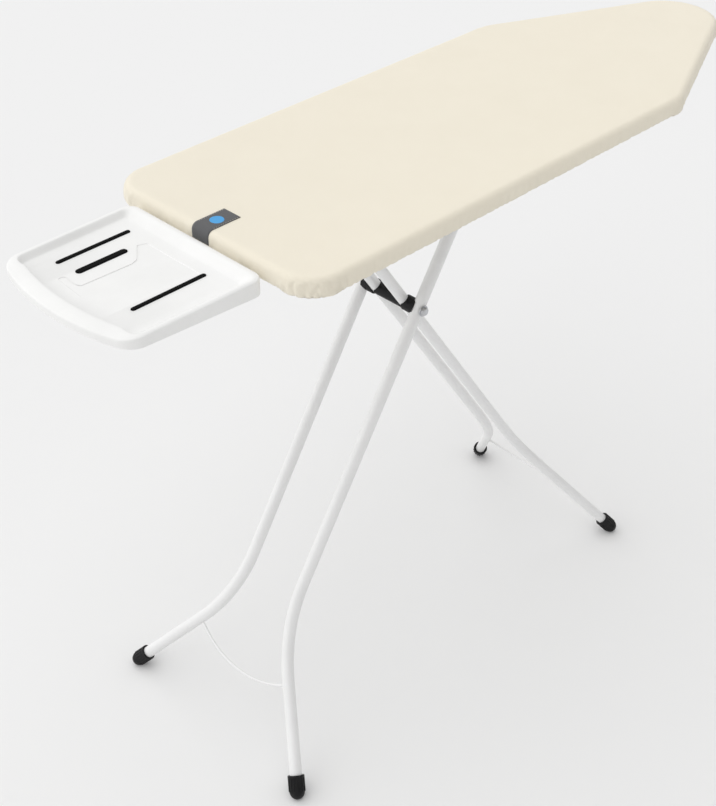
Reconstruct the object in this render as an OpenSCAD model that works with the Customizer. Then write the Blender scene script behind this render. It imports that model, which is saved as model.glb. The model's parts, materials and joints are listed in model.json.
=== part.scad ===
// Four-legged ironing board with a fixed iron rest at its heel.
// Millimetres, +Z up, +X towards the nose, origin on the floor below the middle.

/* [Board] */
// Length of the ironing surface, heel to nose
board_l = 1240; // [1150:10:1500]
// Width of the ironing surface
board_w = 450; // [375:5:545]
// Height of the ironing surface above the floor
board_h = 1025; // [850:5:1230]
// Length of the parallel part, measured from the heel
straight_l = 870; // [780:10:900]
// Radius of the round nose
nose_r = 90; // [75:5:108]
// Radius of the heel corners
corner_r = 58; // [45:1:75]
// Radius where the long edges turn in towards the nose
shoulder_r = 95; // [80:5:120]

/* [Cover, pad and deck] */
// Thickness of the cotton cover
cover_t = 1.5; // [1:0.1:2.4]
// Thickness of the foam pad
pad_t = 7; // [5:0.5:10]
// Thickness of the deck sheet
deck_t = 1; // [0.8:0.1:1.6]
// How far the cover's hem turns in under the rim
hem_w = 32; // [25:1:45]
// Height of the rim below the deck
rim_h = 18; // [16:1:22]
// Sheet thickness of the rim
rim_t = 1.5; // [1:0.1:2]
// Width of the rim's flange under the deck
flange_w = 12; // [9:1:16]

/* [Label] */
// Width of the woven label
label_w = 37; // [25:1:50]
// Length of the label on the top
label_l = 62; // [40:1:80]
// Length of the label down the heel
label_drop = 22; // [14:1:26]
// Thickness of the label
label_t = 0.8; // [0.5:0.1:1]
// Centre of the label off the board's centre line
label_y = 9; // [-30:1:30]

/* [Iron rest] */
// Length of the iron rest, away from the board
rest_l = 258; // [215:1:310]
// Width of the iron rest at the board
rest_w = 304; // [270:2:350]
// How much each side draws in towards the outer end
rest_taper = 4; // [0:1:8]
// Gap between the iron rest and the cover
rest_gap = 10; // [6:1:14]
// Centre of the iron rest off the board's centre line
rest_y = 8; // [-12:1:12]
// Drop of the iron rest's rim below the ironing surface
rest_drop = 12; // [8:1:16]
// Bulge of the outer end
rest_bulge = 26; // [18:1:36]
// Radius of the outer corners
rest_corner_r = 34; // [30:1:38]
// Radius of the corners next to the board
rest_heel_r = 20; // [15:1:25]
// Height of the side wall next to the board
rest_side_h = 27; // [25:1:30]
// Height of the side wall at the outer end
rest_end_h = 16; // [15:1:18]
// Width of the raised rim
rest_rim_w = 24; // [20:1:30]
// Depth of the dish below the rim
rest_dish = 10; // [8:1:12]
// Moulded wall thickness
rest_wall = 2.5; // [2:0.1:3]
// Depth of the sunken panel in the dish's floor
panel_sink = 1; // [0.6:0.1:1.4]
// Width of the two slim rubber strips
strip_slim_w = 6; // [5:0.5:8]
// Width of the broad rubber strip
strip_broad_w = 10; // [8:0.5:12]
// How far the rubber strips stand proud of the floor
strip_proud = 1.2; // [0.6:0.1:2]
// Radius of the steel arms under the iron rest
arm_r = 5; // [4:0.5:6]
// Spacing of the two arms
arm_spacing = 190; // [150:2:230]

/* [Outer legs] */
// Lean of the outer legs from the floor, in degrees
outer_lean = 58; // [57:0.5:59]
// Radius of the outer leg tubes
outer_r = 11; // [10:0.5:12]
// Half spacing of the outer tubes under the board
outer_top_y = 64; // [62:1:70]
// Half spacing of the outer feet
outer_foot_y = 234; // [195:1:280]
// Length of the splayed lower part, measured along the lean
outer_splay = 249; // [208:1:298]
// Centre-line radius of the bend
bend_r = 290; // [200:10:320]

/* [Inner legs] */
// Lean of the inner legs from the floor, in degrees
inner_lean = 55.5; // [54.5:0.5:56.5]
// Radius of the inner leg tubes
inner_r = 10; // [9:0.5:10]
// Half spacing of the inner tubes under the board
inner_top_y = 33; // [27:1:34]
// Half spacing of the inner feet
inner_foot_y = 194; // [162:1:230]
// Length of the splayed lower part, measured along the lean
inner_splay = 293; // [245:1:350]

/* [Joints] */
// Distance of the inner leg hinge from the heel
hinge_x = 251; // [210:1:290]
// Depth of the hinge axis below the ironing surface
hinge_drop = 44; // [43:1:50]
// Distance along an inner tube from its top to the scissor pivot
pivot_arm = 280; // [234:1:336]
// Radius of the hinge pin
pin_r = 5; // [4:0.5:5.5]
// Radius of the scissor pivot's bolt
bolt_r = 4; // [3:0.5:5]
// Radius of the sliding top bar
bar_r = 6; // [5:0.5:6.5]
// Radius of the glides on the top bar
glide_r = 8; // [7.5:0.5:9]
// Radius of the lever's shaft
shaft_r = 4; // [3:0.5:4.5]
// Turn of the latch between clear and closed, in degrees
latch_turn = 14; // [12:1:15]

/* [Feet and wires] */
// Outer radius of the foot caps
cap_r = 15; // [14:0.5:17]
// Length of the foot caps
cap_l = 42; // [36:1:60]
// Depth of the flat worn on the bottom of a foot cap
cap_flat = 1; // [0.5:0.1:2]
// Radius of the bowed cross wires
wire_r = 2.2; // [2:0.1:3]
// Height of the outer wire's lowest point, along the lean
outer_wire_s = 130; // [110:1:150]
// Height of the inner wire's lowest point, along the lean
inner_wire_s = 164; // [140:1:190]
// Bow radius of the outer wire
outer_bow_r = 215; // [200:5:260]
// Bow radius of the inner wire
inner_bow_r = 230; // [200:5:260]

/* [Wall thicknesses and clearances] */
// Wall thickness of the leg tubes
tube_wall = 1.2; // [1:0.1:1.5]
// Thickness of brackets and guide rails
plate_t = 2; // [1.5:0.1:3]
// Width of the cross rails
rail_w = 25; // [20:1:30]
// Depth of the cross rails
rail_h = 16; // [12:1:18]
// Radial clearance of turning fits
turn_gap = 0.05; // [0.02:0.01:0.1]
// Gap between pieces that are pushed or welded together
seat_gap = 0.05; // [0.02:0.01:0.1]
// Gap between pieces that move past each other
move_gap = 0.3; // [0.2:0.05:0.5]
// Play of the glides in their slots, each way
glide_play = 2.2; // [2:0.1:3]

/* [Hidden] */

$fn = 48;

cream = "#efe8d2";
powder_white = "#f2f2f0";
moulded_white = "#f7f7f5";
black_plastic = "#222224";
zinc = "#b9bcc0";

// The overall length runs from the iron rest's outer end to the nose.
overall_l = board_l + rest_gap + rest_l;
heel_x = rest_gap + rest_l - overall_l / 2;

// Levels under the ironing surface.
pad_z = board_h - cover_t;
deck_z = pad_z - pad_t;
frame_z = deck_z - deck_t;
hem_z = frame_z - rim_h;
rail_z = frame_z - rim_t - rail_h;
hinge_z = board_h - hinge_drop;
rim_inset = cover_t + seat_gap;

// The hinge tube and the top bar are welded on top of their tubes, sunk by this much.
weld_sink = 1;
hinge_tube_r = pin_r + 4;
hinge_off = inner_r + hinge_tube_r - weld_sink;
bar_off = outer_r + bar_r - weld_sink;

// The scissor pivot lies on both tube lines, and the top bar is level with the hinge.
pivot_x = hinge_x - hinge_off * sin(inner_lean) + pivot_arm * cos(inner_lean);
pivot_z = hinge_z - hinge_off * cos(inner_lean) - pivot_arm * sin(inner_lean);
outer_arm = (hinge_z - pivot_z - bar_off * cos(outer_lean)) / sin(outer_lean);
bar_x = pivot_x + outer_arm * cos(outer_lean) - bar_off * sin(outer_lean);
outer_foot_x = pivot_x - pivot_z / tan(outer_lean);
inner_foot_x = pivot_x + pivot_z / tan(inner_lean);
outer_pivot_s = pivot_z / sin(outer_lean);
inner_pivot_s = pivot_z / sin(inner_lean);
outer_top_s = outer_pivot_s + outer_arm;
inner_top_s = inner_pivot_s + pivot_arm;

// Folding turns both pairs of legs level with the board.
fold_reach = hinge_x + pivot_arm;
bar_fold_x = fold_reach + outer_arm;

// Places of the cross rails, each given by its heel side.
tail_rail_x = 110;
hinge_rail_x = hinge_x - rail_w / 2;
shaft_x = bar_x - 48;
latch_rail_x = shaft_x - 13 - rail_w;
nose_rail_x = bar_fold_x + 36;
shaft_z = hinge_z + 12;

// Pivot bolt: its washers lie on the outer tubes, and the guide rails clear its nut.
head_y = outer_top_y + outer_r + move_gap;
washer_t = 1.5;
nut_y = head_y + washer_t + seat_gap;
nut_l = 8;
guide_y = nut_y + nut_l + move_gap;

// Sleeve faces of the scissor pivot, half way between the two tubes.
pivot_face_y = (outer_top_y - outer_r + inner_top_y + inner_r) / 2;
saddle_r = 14;

// Iron rest levels and the dish's inner outline.
rest_z = board_h - rest_drop;
floor_z = rest_z - rest_dish;
arm_z = hem_z - cover_t - arm_r - 0.5;
rest_end_r = (pow(rest_w / 2 - rest_taper, 2) + pow(rest_bulge, 2)) / (2 * rest_bulge);
strip_x = -rest_gap - 46;
strip_l = 129;
broad_x = -rest_gap - 83;
broad_l = 87;
strip_left_y = 98;
broad_y = 57;
strip_right_y = -75;
screw_x = [-rest_gap - 60, -rest_gap - rest_l + 75];

// ---------- outlines ----------

function arc(c, r, a0, a1, n) = [
    for (i = [0:n]) c + r * [cos(a0 + (a1 - a0) * i / n), sin(a0 + (a1 - a0) * i / n)]
];

function mirrored(p) = [for (i = [len(p) - 1:-1:0]) [p[i][0], -p[i][1]]];

// Angle of the tapered edge: from the shoulder it runs tangent to the nose circle.
taper_run = [board_l - nose_r - straight_l, board_w / 2];
taper_a = atan2(taper_run[1], taper_run[0]) - asin(nose_r / norm(taper_run));

// Board outline, drawn in by `k` all round.
function board_half(k) = concat(
    arc([corner_r, -board_w / 2 + corner_r], corner_r - k, 180, 270, 12),
    arc([straight_l - shoulder_r * tan(taper_a / 2), -board_w / 2 + shoulder_r],
        shoulder_r - k, 270, 270 + taper_a, 5),
    arc([board_l - nose_r, 0], nose_r - k, 270 + taper_a, 359, 14)
);

function board_outline(k) = concat(board_half(k), mirrored(board_half(k)));

// One rounded corner at v, between neighbours a and b.
function rounded(a, v, b, r, n) =
    let (
        u = (a - v) / norm(a - v),
        w = (b - v) / norm(b - v),
        half = acos(u * w) / 2,
        c = v + (u + w) / norm(u + w) * r / sin(half),
        p = v + u * r / tan(half),
        q = v + w * r / tan(half),
        a0 = atan2(p[1] - c[1], p[0] - c[0]),
        a1 = atan2(q[1] - c[1], q[0] - c[0]),
        turn = (a1 - a0 + 900) % 360 - 180
    )
    arc(c, r, a0, a0 + turn, n);

// Iron rest outline, drawn in by `k`: straight sides and a bulging outer end.
function rest_half(k) =
    let (
        heel = [-rest_gap - k, rest_w / 2 - k],
        outer = [-rest_gap - rest_l + rest_bulge + k, rest_w / 2 - rest_taper - k],
        end_c = -rest_gap - rest_l + rest_end_r,
        end_r = rest_end_r - k,
        span = asin(outer[1] / end_r),
        n = 6,
        bow = [for (i = [1:n]) [end_c - end_r * cos(span * i / n), end_r * sin(span * i / n)]]
    )
    concat(
        [[end_c - end_r, 0]],
        [for (i = [0:n - 3]) bow[i]],
        rounded(bow[n - 3], bow[n - 1], heel, max(rest_corner_r - k, 4), 8),
        rounded(outer, heel, [heel[0], 0], max(rest_heel_r - k, 3), 6)
    );

function rest_outline(k) = concat(rest_half(k), mirrored(rest_half(k)));

// ---------- helpers ----------

module at_heel() {
    translate([heel_x, 0, 0])
    children();
}

module at_rest() {
    at_heel()
    translate([0, rest_y, 0])
    children();
}

module slab(points, z0, z1) {
    translate([0, 0, z0])
    linear_extrude(height = z1 - z0)
    polygon(points);
}

module ring(k0, k1, z0, z1) {
    difference() {
        slab(board_outline(k0), z0, z1);
        slab(board_outline(k1), z0 - 1, z1 + 1);
    }
}

module box(lo, hi) {
    translate(lo)
    cube(hi - lo);
}

// A round bar along Y.
module rod_y(x, z, r, y0, y1) {
    translate([x, y0, z])
    rotate([-90, 0, 0])
    cylinder(h = y1 - y0, r = r);
}

// Turns a piece drawn with Z along the tube and X outwards into a leaning leg.
// side is 1 for the left leg (+Y) and -1 for the right.
module lean(foot_x, angle, side) {
    translate([foot_x, 0, 0])
    scale([1, side, 1])
    rotate([0, 90 - angle, 0])
    rotate([0, 0, 90])
    children();
}

function splay_angle(foot_y, top_y, splay) = atan((foot_y - top_y) / splay);

// Distance along the splayed part from the floor line to the middle of the cap's ball.
function cap_s(lean_a, splay_a) = (cap_r - cap_flat) / (sin(lean_a) * cos(splay_a));

// A bent leg: a straight upper part at top_y, one bend, and a splayed lower part.
// The bend is swollen by a hair, and both straight parts reach a little way into it.
module bent_bar(r, foot_y, top_y, splay, top_s, low_s) {
    a = splay_angle(foot_y, top_y, splay);
    tangent = bend_r * tan(a / 2);
    low_l = splay / cos(a) - tangent - low_s;
    lap = 2;
    swell = 0.15;
    translate([top_y + bend_r, 0, splay + tangent]) {
        translate([-bend_r, 0, -lap])
        cylinder(h = top_s - splay - tangent + lap, r = r);
        rotate([90, 0, 0])
        rotate([0, 0, 180])
        rotate_extrude(angle = a)
        translate([bend_r, 0])
        circle(r = r + swell);
        rotate([0, -a, 0])
        translate([-bend_r, 0, -low_l])
        cylinder(h = low_l + lap, r = r);
    }
}

module leg_tube(r, foot_y, top_y, splay, top_s, low_s, pivot_s) {
    difference() {
        bent_bar(r, foot_y, top_y, splay, top_s, low_s);
        bent_bar(r - tube_wall, foot_y, top_y, splay, top_s + 1, low_s - 1);
        translate([top_y - 2 * r, 0, pivot_s])
        rotate([0, 90, 0])
        cylinder(h = 4 * r, r = bolt_r + turn_gap);
    }
}

// A bowed cross wire, cut off where it meets the two tubes.
module bow_wire(bow_r, low_s, half_l) {
    a = asin(half_l / bow_r);
    translate([0, 0, low_s + bow_r])
    rotate([90, 0, 0])
    rotate([0, 0, 270 - a])
    rotate_extrude(angle = 2 * a)
    translate([bow_r, 0])
    circle(r = wire_r);
}

// A foot cap: a sleeve with a bullet end, worn flat where it stands on the floor.
module foot_cap(tube_r, lean_a, foot_x, foot_y, top_y, splay, side) {
    a = splay_angle(foot_y, top_y, splay);
    difference() {
        lean(foot_x, lean_a, side)
        translate([foot_y, 0, 0])
        rotate([0, -a, 0])
        translate([0, 0, cap_s(lean_a, a)])
        difference() {
            union() {
                sphere(r = cap_r);
                cylinder(h = cap_l - cap_r, r = cap_r);
            }
            translate([0, 0, cap_seat])
            cylinder(h = cap_l, r = tube_r + seat_gap);
        }
        translate([foot_x - 200, side * foot_y - 200, -400])
        cube([400, 400, 400]);
    }
}

// Where a tube ends inside its cap, above the middle of the cap's ball.
cap_seat = 2;

// ---------- board ----------

module cover() {
    color(cream)
    at_heel()
    difference() {
        union() {
            slab(board_outline(0), pad_z, board_h);
            ring(0, cover_t, hem_z, pad_z);
            ring(0, hem_w, hem_z - cover_t, hem_z);
        }
        // The label is sewn down level with the surface.
        box([-1, label_y - label_w / 2 - seat_gap, board_h - label_t - seat_gap],
            [label_l + seat_gap, label_y + label_w / 2 + seat_gap, board_h + 1]);
    }
}

module foam_pad() {
    color("#d9d6cc")
    at_heel()
    slab(board_outline(rim_inset), deck_z, pad_z);
}

module deck_mesh() {
    color(powder_white)
    at_heel()
    slab(board_outline(rim_inset), frame_z, deck_z);
}

// The rim: an upright wall with a flange under the deck.
module rim() {
    ring(rim_inset, rim_inset + rim_t, hem_z, frame_z);
    ring(rim_inset + rim_t / 2, rim_inset + flange_w, frame_z - rim_t, frame_z);
}

// Part of the rim between two stations along the board and two across it.
module rim_part(x0, x1, y0, y1) {
    color(powder_white)
    at_heel()
    intersection() {
        rim();
        box([x0, y0, 0], [x1, y1, board_h]);
    }
}

rim_nose_x = board_l - 2 * nose_r;

module rim_heel() {
    rim_part(-1, corner_r, -board_w, board_w);
}

module rim_left() {
    rim_part(corner_r, rim_nose_x, 0, board_w);
}

module rim_right() {
    rim_part(corner_r, rim_nose_x, -board_w, 0);
}

module rim_nose() {
    rim_part(rim_nose_x, board_l, -board_w, board_w);
}

// A cross rail: an upside-down channel from rim to rim.
module cross_rail(x) {
    color(powder_white)
    at_heel()
    difference() {
        intersection() {
            slab(board_outline(rim_inset + rim_t + seat_gap), rail_z, rail_z + rail_h);
            box([x, -board_w, 0], [x + rail_w, board_w, board_h]);
        }
        box([x + plate_t, -board_w, rail_z + plate_t],
            [x + rail_w - plate_t, board_w, rail_z + rail_h + 1]);
    }
}

module tail_rail() {
    cross_rail(tail_rail_x);
}

module hinge_rail() {
    cross_rail(hinge_rail_x);
}

module latch_rail() {
    cross_rail(latch_rail_x);
}

module nose_rail() {
    cross_rail(nose_rail_x);
}

// A guide rail: an upright plate with the long slot in which a glide runs.
module guide_rail(side) {
    y0 = side > 0 ? guide_y : -guide_y - plate_t;
    slot_r = glide_r + glide_play;
    color(zinc)
    at_heel()
    difference() {
        union() {
            box([latch_rail_x + rail_w + seat_gap, y0, hinge_z - slot_r - 7],
                [nose_rail_x - seat_gap, y0 + plate_t, rail_z + rail_h]);
            box([latch_rail_x + rail_w + seat_gap, side > 0 ? y0 : y0 - 12, rail_z + rail_h - plate_t],
                [nose_rail_x - seat_gap, side > 0 ? y0 + plate_t + 12 : y0 + plate_t, rail_z + rail_h]);
        }
        box([bar_x, y0 - 1, hinge_z - slot_r], [bar_fold_x, y0 + plate_t + 1, hinge_z + slot_r]);
        rod_y(bar_x, hinge_z, slot_r, y0 - 1, y0 + plate_t + 1);
        rod_y(bar_fold_x, hinge_z, slot_r, y0 - 1, y0 + plate_t + 1);
        rod_y(shaft_x, shaft_z, shaft_r + turn_gap, y0 - 1, y0 + plate_t + 1);
    }
}

module guide_rail_left() {
    guide_rail(1);
}

module guide_rail_right() {
    guide_rail(-1);
}

// Two ears on a web, for the inner legs' hinge.
ear_y = inner_top_y + inner_r + 3;

module hinge_bracket() {
    top = rail_z - seat_gap;
    color(zinc)
    at_heel()
    difference() {
        union() {
            box([hinge_x - 24, -ear_y - plate_t, top - plate_t], [hinge_x + 24, ear_y + plate_t, top]);
            for (s = [-1, 1])
                hull() {
                    rod_y(hinge_x, hinge_z, 12, s > 0 ? ear_y : -ear_y - plate_t,
                        s > 0 ? ear_y + plate_t : -ear_y);
                    box([hinge_x - 20, s > 0 ? ear_y : -ear_y - plate_t, top - plate_t],
                        [hinge_x + 20, s > 0 ? ear_y + plate_t : -ear_y, top]);
                }
        }
        rod_y(hinge_x, hinge_z, pin_r + turn_gap, -board_w, board_w);
    }
}

module hinge_pin() {
    reach = ear_y + plate_t;
    color(zinc)
    at_heel() {
        rod_y(hinge_x, hinge_z, pin_r, -reach - 2, reach + 2);
        rod_y(hinge_x, hinge_z, pin_r + 2.5, -reach - 2.5, -reach - seat_gap);
        rod_y(hinge_x, hinge_z, pin_r + 2.5, reach + seat_gap, reach + 2.5);
    }
}

// The bearing plate of the lever's shaft, next to the paddle.
lever_y = board_w / 2 - 67;

module lever_bracket() {
    x0 = latch_rail_x + rail_w + seat_gap;
    color(zinc)
    at_heel()
    difference() {
        box([x0, -lever_y, hinge_z + 4], [x0 + 26, -lever_y + plate_t, rail_z + rail_h]);
        rod_y(shaft_x, shaft_z, shaft_r + turn_gap, -board_w, board_w);
    }
}

module label_tab() {
    y0 = label_y - label_w / 2;
    y1 = label_y + label_w / 2;
    color("#5c6166")
    at_heel() {
        box([-label_t - seat_gap, y0, board_h - label_t], [label_l, y1, board_h]);
        box([-label_t - seat_gap, y0, board_h - label_drop], [-seat_gap, y1, board_h]);
    }
}

// ---------- iron rest ----------

// A bar along X with round ends, as a strip or as its groove.
module stadium(x1, length, y, w, z0, z1) {
    r = w / 2;
    translate([0, 0, z0]) {
        translate([x1 - length + r, y - r, 0])
        cube([length - w, w, z1 - z0]);
        for (x = [x1 - length + r, x1 - r])
            translate([x, y, 0])
            cylinder(h = z1 - z0, r = r);
    }
}

strip_seat = 1.2;

module strips(grow, z0, z1) {
    stadium(strip_x + grow, strip_l + 2 * grow, strip_left_y, strip_slim_w + 2 * grow, z0, z1);
    stadium(broad_x + grow, broad_l + 2 * grow, broad_y, strip_broad_w + 2 * grow, z0, z1);
    stadium(strip_x + grow, strip_l + 2 * grow, strip_right_y, strip_slim_w + 2 * grow, z0, z1);
}

// The sunken panel between the two raised parts of the floor, measured from the rest's edge.
panel = [
    [-48, 52], [-63, 58], [-88, 26], [-100, 22], [-186, 25], [-190, 33],
    [-188, 62], [-199, 63], [-204, 2], [-197, -62], [-48, -66]
];

module iron_rest() {
    low = rest_z - rest_side_h;
    fall = rest_side_h - rest_end_h;
    skirt_end = -rest_gap - rest_l;
    color(moulded_white)
    at_rest()
    difference() {
        slab(rest_outline(0), low, rest_z);
        // The dish, its sunken panel and the strips' grooves.
        slab(rest_outline(rest_rim_w), floor_z, rest_z + 1);
        translate([-rest_gap, 0, 0])
        slab(panel, floor_z - panel_sink, rest_z);
        strips(seat_gap, floor_z - strip_seat, rest_z);
        // The hollow underside, up to the floor and further up into the rim.
        difference() {
            slab(rest_outline(rest_wall), low - 1, floor_z - rest_wall - strip_seat);
            for (x = screw_x)
                for (s = [-1, 1])
                    translate([x, s * arm_spacing / 2, arm_z + arm_r + seat_gap])
                    cylinder(h = 40, r = 6);
        }
        difference() {
            slab(rest_outline(rest_wall), low - 1, rest_z - rest_wall);
            slab(rest_outline(rest_rim_w - rest_wall), low - 2, rest_z);
        }
        // The sloping lower edge.
        translate([0, board_w / 2, 0])
        rotate([90, 0, 0])
        linear_extrude(height = board_w)
        polygon([[0, low - 1], [-rest_gap, low], [skirt_end, low + fall], [skirt_end - 1, low - 1]]);
        // Notches for the arms.
        for (s = [-1, 1])
            box([-rest_gap - 60, s * arm_spacing / 2 - arm_r - 1, low - 1],
                [0, s * arm_spacing / 2 + arm_r + 1, arm_z + arm_r + seat_gap]);
        for (x = screw_x)
            for (s = [-1, 1])
                translate([x, s * arm_spacing / 2, arm_z])
                cylinder(h = screw_top - arm_z + 0.5, r = screw_r + seat_gap);
    }
}

module strip(x, length, y, w) {
    color(black_plastic)
    at_rest()
    stadium(x, length, y, w, floor_z - strip_seat, floor_z + strip_proud);
}

module rest_strip_left() {
    strip(strip_x, strip_l, strip_left_y, strip_slim_w);
}

module rest_strip_broad() {
    strip(broad_x, broad_l, broad_y, strip_broad_w);
}

module rest_strip_right() {
    strip(strip_x, strip_l, strip_right_y, strip_slim_w);
}

screw_r = 2;
screw_top = floor_z - rest_wall - strip_seat + 1;

module rest_arm(side) {
    y = side * arm_spacing / 2;
    x0 = screw_x[1] - 14;
    length = tail_rail_x + rail_w + 5 - x0;
    color(zinc)
    at_rest()
    difference() {
        translate([x0, y, arm_z])
        rotate([0, 90, 0])
        cylinder(h = length, r = arm_r);
        translate([x0 - 1, y, arm_z])
        rotate([0, 90, 0])
        cylinder(h = length + 2, r = arm_r - tube_wall);
        for (x = screw_x)
            translate([x, y, arm_z - 2 * arm_r])
            cylinder(h = 4 * arm_r, r = screw_r + seat_gap);
    }
}

module rest_arm_left() {
    rest_arm(1);
}

module rest_arm_right() {
    rest_arm(-1);
}

// Short straps that hold the arms up against the tail rail.
module rest_arm_clamps() {
    color(zinc)
    at_rest()
    for (s = [-1, 1])
        difference() {
            box([tail_rail_x, s * arm_spacing / 2 - arm_r - 6, arm_z - 1],
                [tail_rail_x + rail_w, s * arm_spacing / 2 + arm_r + 6, rail_z - seat_gap]);
            translate([tail_rail_x - 1, s * arm_spacing / 2, arm_z])
            rotate([0, 90, 0])
            cylinder(h = rail_w + 2, r = arm_r + seat_gap);
        }
}

module rest_screws() {
    color(zinc)
    at_rest()
    for (x = screw_x)
        for (s = [-1, 1])
            translate([x, s * arm_spacing / 2, 0]) {
                translate([0, 0, arm_z - arm_r - 1])
                cylinder(h = screw_top - arm_z + arm_r + 1, r = screw_r);
                translate([0, 0, arm_z - arm_r - 3])
                cylinder(h = 3 - seat_gap, r = 2 * screw_r);
            }
}

// ---------- latch and lever ----------

// The lever turns as one piece, drawn closed and lifted clear by latch_turn.
module lifted() {
    at_heel()
    translate([shaft_x, 0, shaft_z])
    rotate([0, -latch_turn, 0])
    children();
}

hook_w = 20;
hub_r = shaft_r + 4;

module lever_shaft() {
    color(zinc)
    lifted()
    rod_y(0, 0, shaft_r, -lever_y - 33, guide_y + plate_t + 4);
}

// The hook closes over the top bar from above, with its nose in front of the bar.
module latch_hook() {
    bar = [bar_x - shaft_x, hinge_z - shaft_z];
    nose = bar[0] + bar_r + 0.5;
    color(zinc)
    lifted()
    difference() {
        union() {
            rod_y(0, 0, hub_r, -hook_w / 2, hook_w / 2);
            box([0, -hook_w / 2, bar[1] + bar_r + 0.5], [nose + 8, hook_w / 2, bar[1] + bar_r + 6.5]);
            box([nose, -hook_w / 2, bar[1] - 4], [nose + 8, hook_w / 2, bar[1] + bar_r + 6.5]);
        }
        rod_y(0, 0, shaft_r + seat_gap, -board_w, board_w);
    }
}

// The paddle that a hand pulls up, on the shaft's outer end.
module lever_paddle() {
    y0 = -lever_y - 34;
    y1 = -lever_y - 4;
    reach = 76;
    low = 1 - hub_r;
    color(black_plastic)
    lifted()
    difference() {
        union() {
            rod_y(0, 0, hub_r, y0, y1);
            rotate([0, latch_turn + 2, 0]) {
                box([0, y0 + 0.5, low], [reach, y1 - 0.5, low + 5]);
                rod_y(reach, low + 2.5, 4, y0, y1);
            }
        }
        rod_y(0, 0, shaft_r + seat_gap, -board_w, board_w);
    }
}

module lever_spring() {
    coil_r = shaft_r + 2;
    wire = 0.8;
    color(zinc)
    lifted()
    translate([0, hook_w / 2 + 4, 0])
    rotate([-90, 0, 0]) {
        for (i = [0:5])
            translate([0, 0, i * 1.5])
            rotate_extrude()
            translate([coil_r, 0])
            circle(r = wire);
        for (z = [0, 7.5])
            translate([coil_r, 0, z])
            rotate([z == 0 ? 90 : -90, 0, 0])
            cylinder(h = 16, r = wire);
    }
}

// ---------- outer legs ----------

module outer_leg(side) {
    a = splay_angle(outer_foot_y, outer_top_y, outer_splay);
    low = cap_s(outer_lean, a) + cap_seat + seat_gap;
    color(powder_white)
    at_heel()
    difference() {
        lean(outer_foot_x, outer_lean, side)
        leg_tube(outer_r, outer_foot_y, outer_top_y, outer_splay, outer_top_s + bar_r, low, outer_pivot_s);
        rod_y(bar_x, hinge_z, bar_r + seat_gap, -board_w, board_w);
    }
}

module outer_leg_left() {
    outer_leg(1);
}

module outer_leg_right() {
    outer_leg(-1);
}

module top_bar() {
    reach = guide_y + plate_t + 8;
    color(powder_white)
    at_heel()
    rod_y(bar_x, hinge_z, bar_r, -reach, reach);
}

// A glide: a flanged plastic sleeve on the end of the top bar.
module glide(side) {
    y0 = guide_y - 3;
    y1 = guide_y + plate_t + 6;
    color(black_plastic)
    at_heel()
    scale([1, side, 1])
    difference() {
        union() {
            rod_y(bar_x, hinge_z, glide_r, y0, y1);
            rod_y(bar_x, hinge_z, glide_r + 5, guide_y + plate_t + 1, y1);
        }
        rod_y(bar_x, hinge_z, bar_r + seat_gap, y0 - 1, y1 + 1);
    }
}

module glide_left() {
    glide(1);
}

module glide_right() {
    glide(-1);
}

module outer_wire() {
    half = outer_foot_y - (outer_foot_y - outer_top_y) * (outer_wire_s + 30) / outer_splay;
    a = splay_angle(outer_foot_y, outer_top_y, outer_splay);
    color(powder_white)
    at_heel()
    difference() {
        lean(outer_foot_x, outer_lean, 1)
        bow_wire(outer_bow_r, outer_wire_s, half);
        for (s = [-1, 1])
            lean(outer_foot_x, outer_lean, s)
            bent_bar(outer_r + seat_gap, outer_foot_y, outer_top_y, outer_splay, outer_splay + 100, 20);
    }
}

module outer_foot(side) {
    color(black_plastic)
    at_heel()
    foot_cap(outer_r, outer_lean, outer_foot_x, outer_foot_y, outer_top_y, outer_splay, side);
}

module outer_foot_left() {
    outer_foot(1);
}

module outer_foot_right() {
    outer_foot(-1);
}

// A saddle between a tube and the scissor pivot's middle plane.
module saddle(tube_y, tube_r, foot_x, angle, y0, y1, side) {
    color(black_plastic)
    at_heel()
    scale([1, side, 1])
    difference() {
        rod_y(pivot_x, pivot_z, saddle_r, y0, y1);
        rod_y(pivot_x, pivot_z, bolt_r + turn_gap, y0 - 1, y1 + 1);
        translate([foot_x, tube_y, 0])
        rotate([0, 90 - angle, 0])
        cylinder(h = board_h * 2, r = tube_r + seat_gap);
    }
}

module outer_saddle(side) {
    saddle(outer_top_y, outer_r, outer_foot_x, outer_lean,
        pivot_face_y + move_gap / 2, outer_top_y - 3, side);
}

module outer_saddle_left() {
    outer_saddle(1);
}

module outer_saddle_right() {
    outer_saddle(-1);
}

// ---------- inner legs ----------

module inner_leg(side) {
    a = splay_angle(inner_foot_y, inner_top_y, inner_splay);
    low = cap_s(inner_lean, a) + cap_seat + seat_gap;
    color(powder_white)
    at_heel()
    difference() {
        lean(inner_foot_x, 180 - inner_lean, side)
        leg_tube(inner_r, inner_foot_y, inner_top_y, inner_splay, inner_top_s + 6, low, inner_pivot_s);
        rod_y(hinge_x, hinge_z, hinge_tube_r + seat_gap, -board_w, board_w);
    }
}

module inner_leg_left() {
    inner_leg(1);
}

module inner_leg_right() {
    inner_leg(-1);
}

module hinge_tube() {
    reach = ear_y - move_gap;
    color(powder_white)
    at_heel()
    difference() {
        rod_y(hinge_x, hinge_z, hinge_tube_r, -reach, reach);
        rod_y(hinge_x, hinge_z, pin_r + turn_gap, -reach - 1, reach + 1);
    }
}

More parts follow.
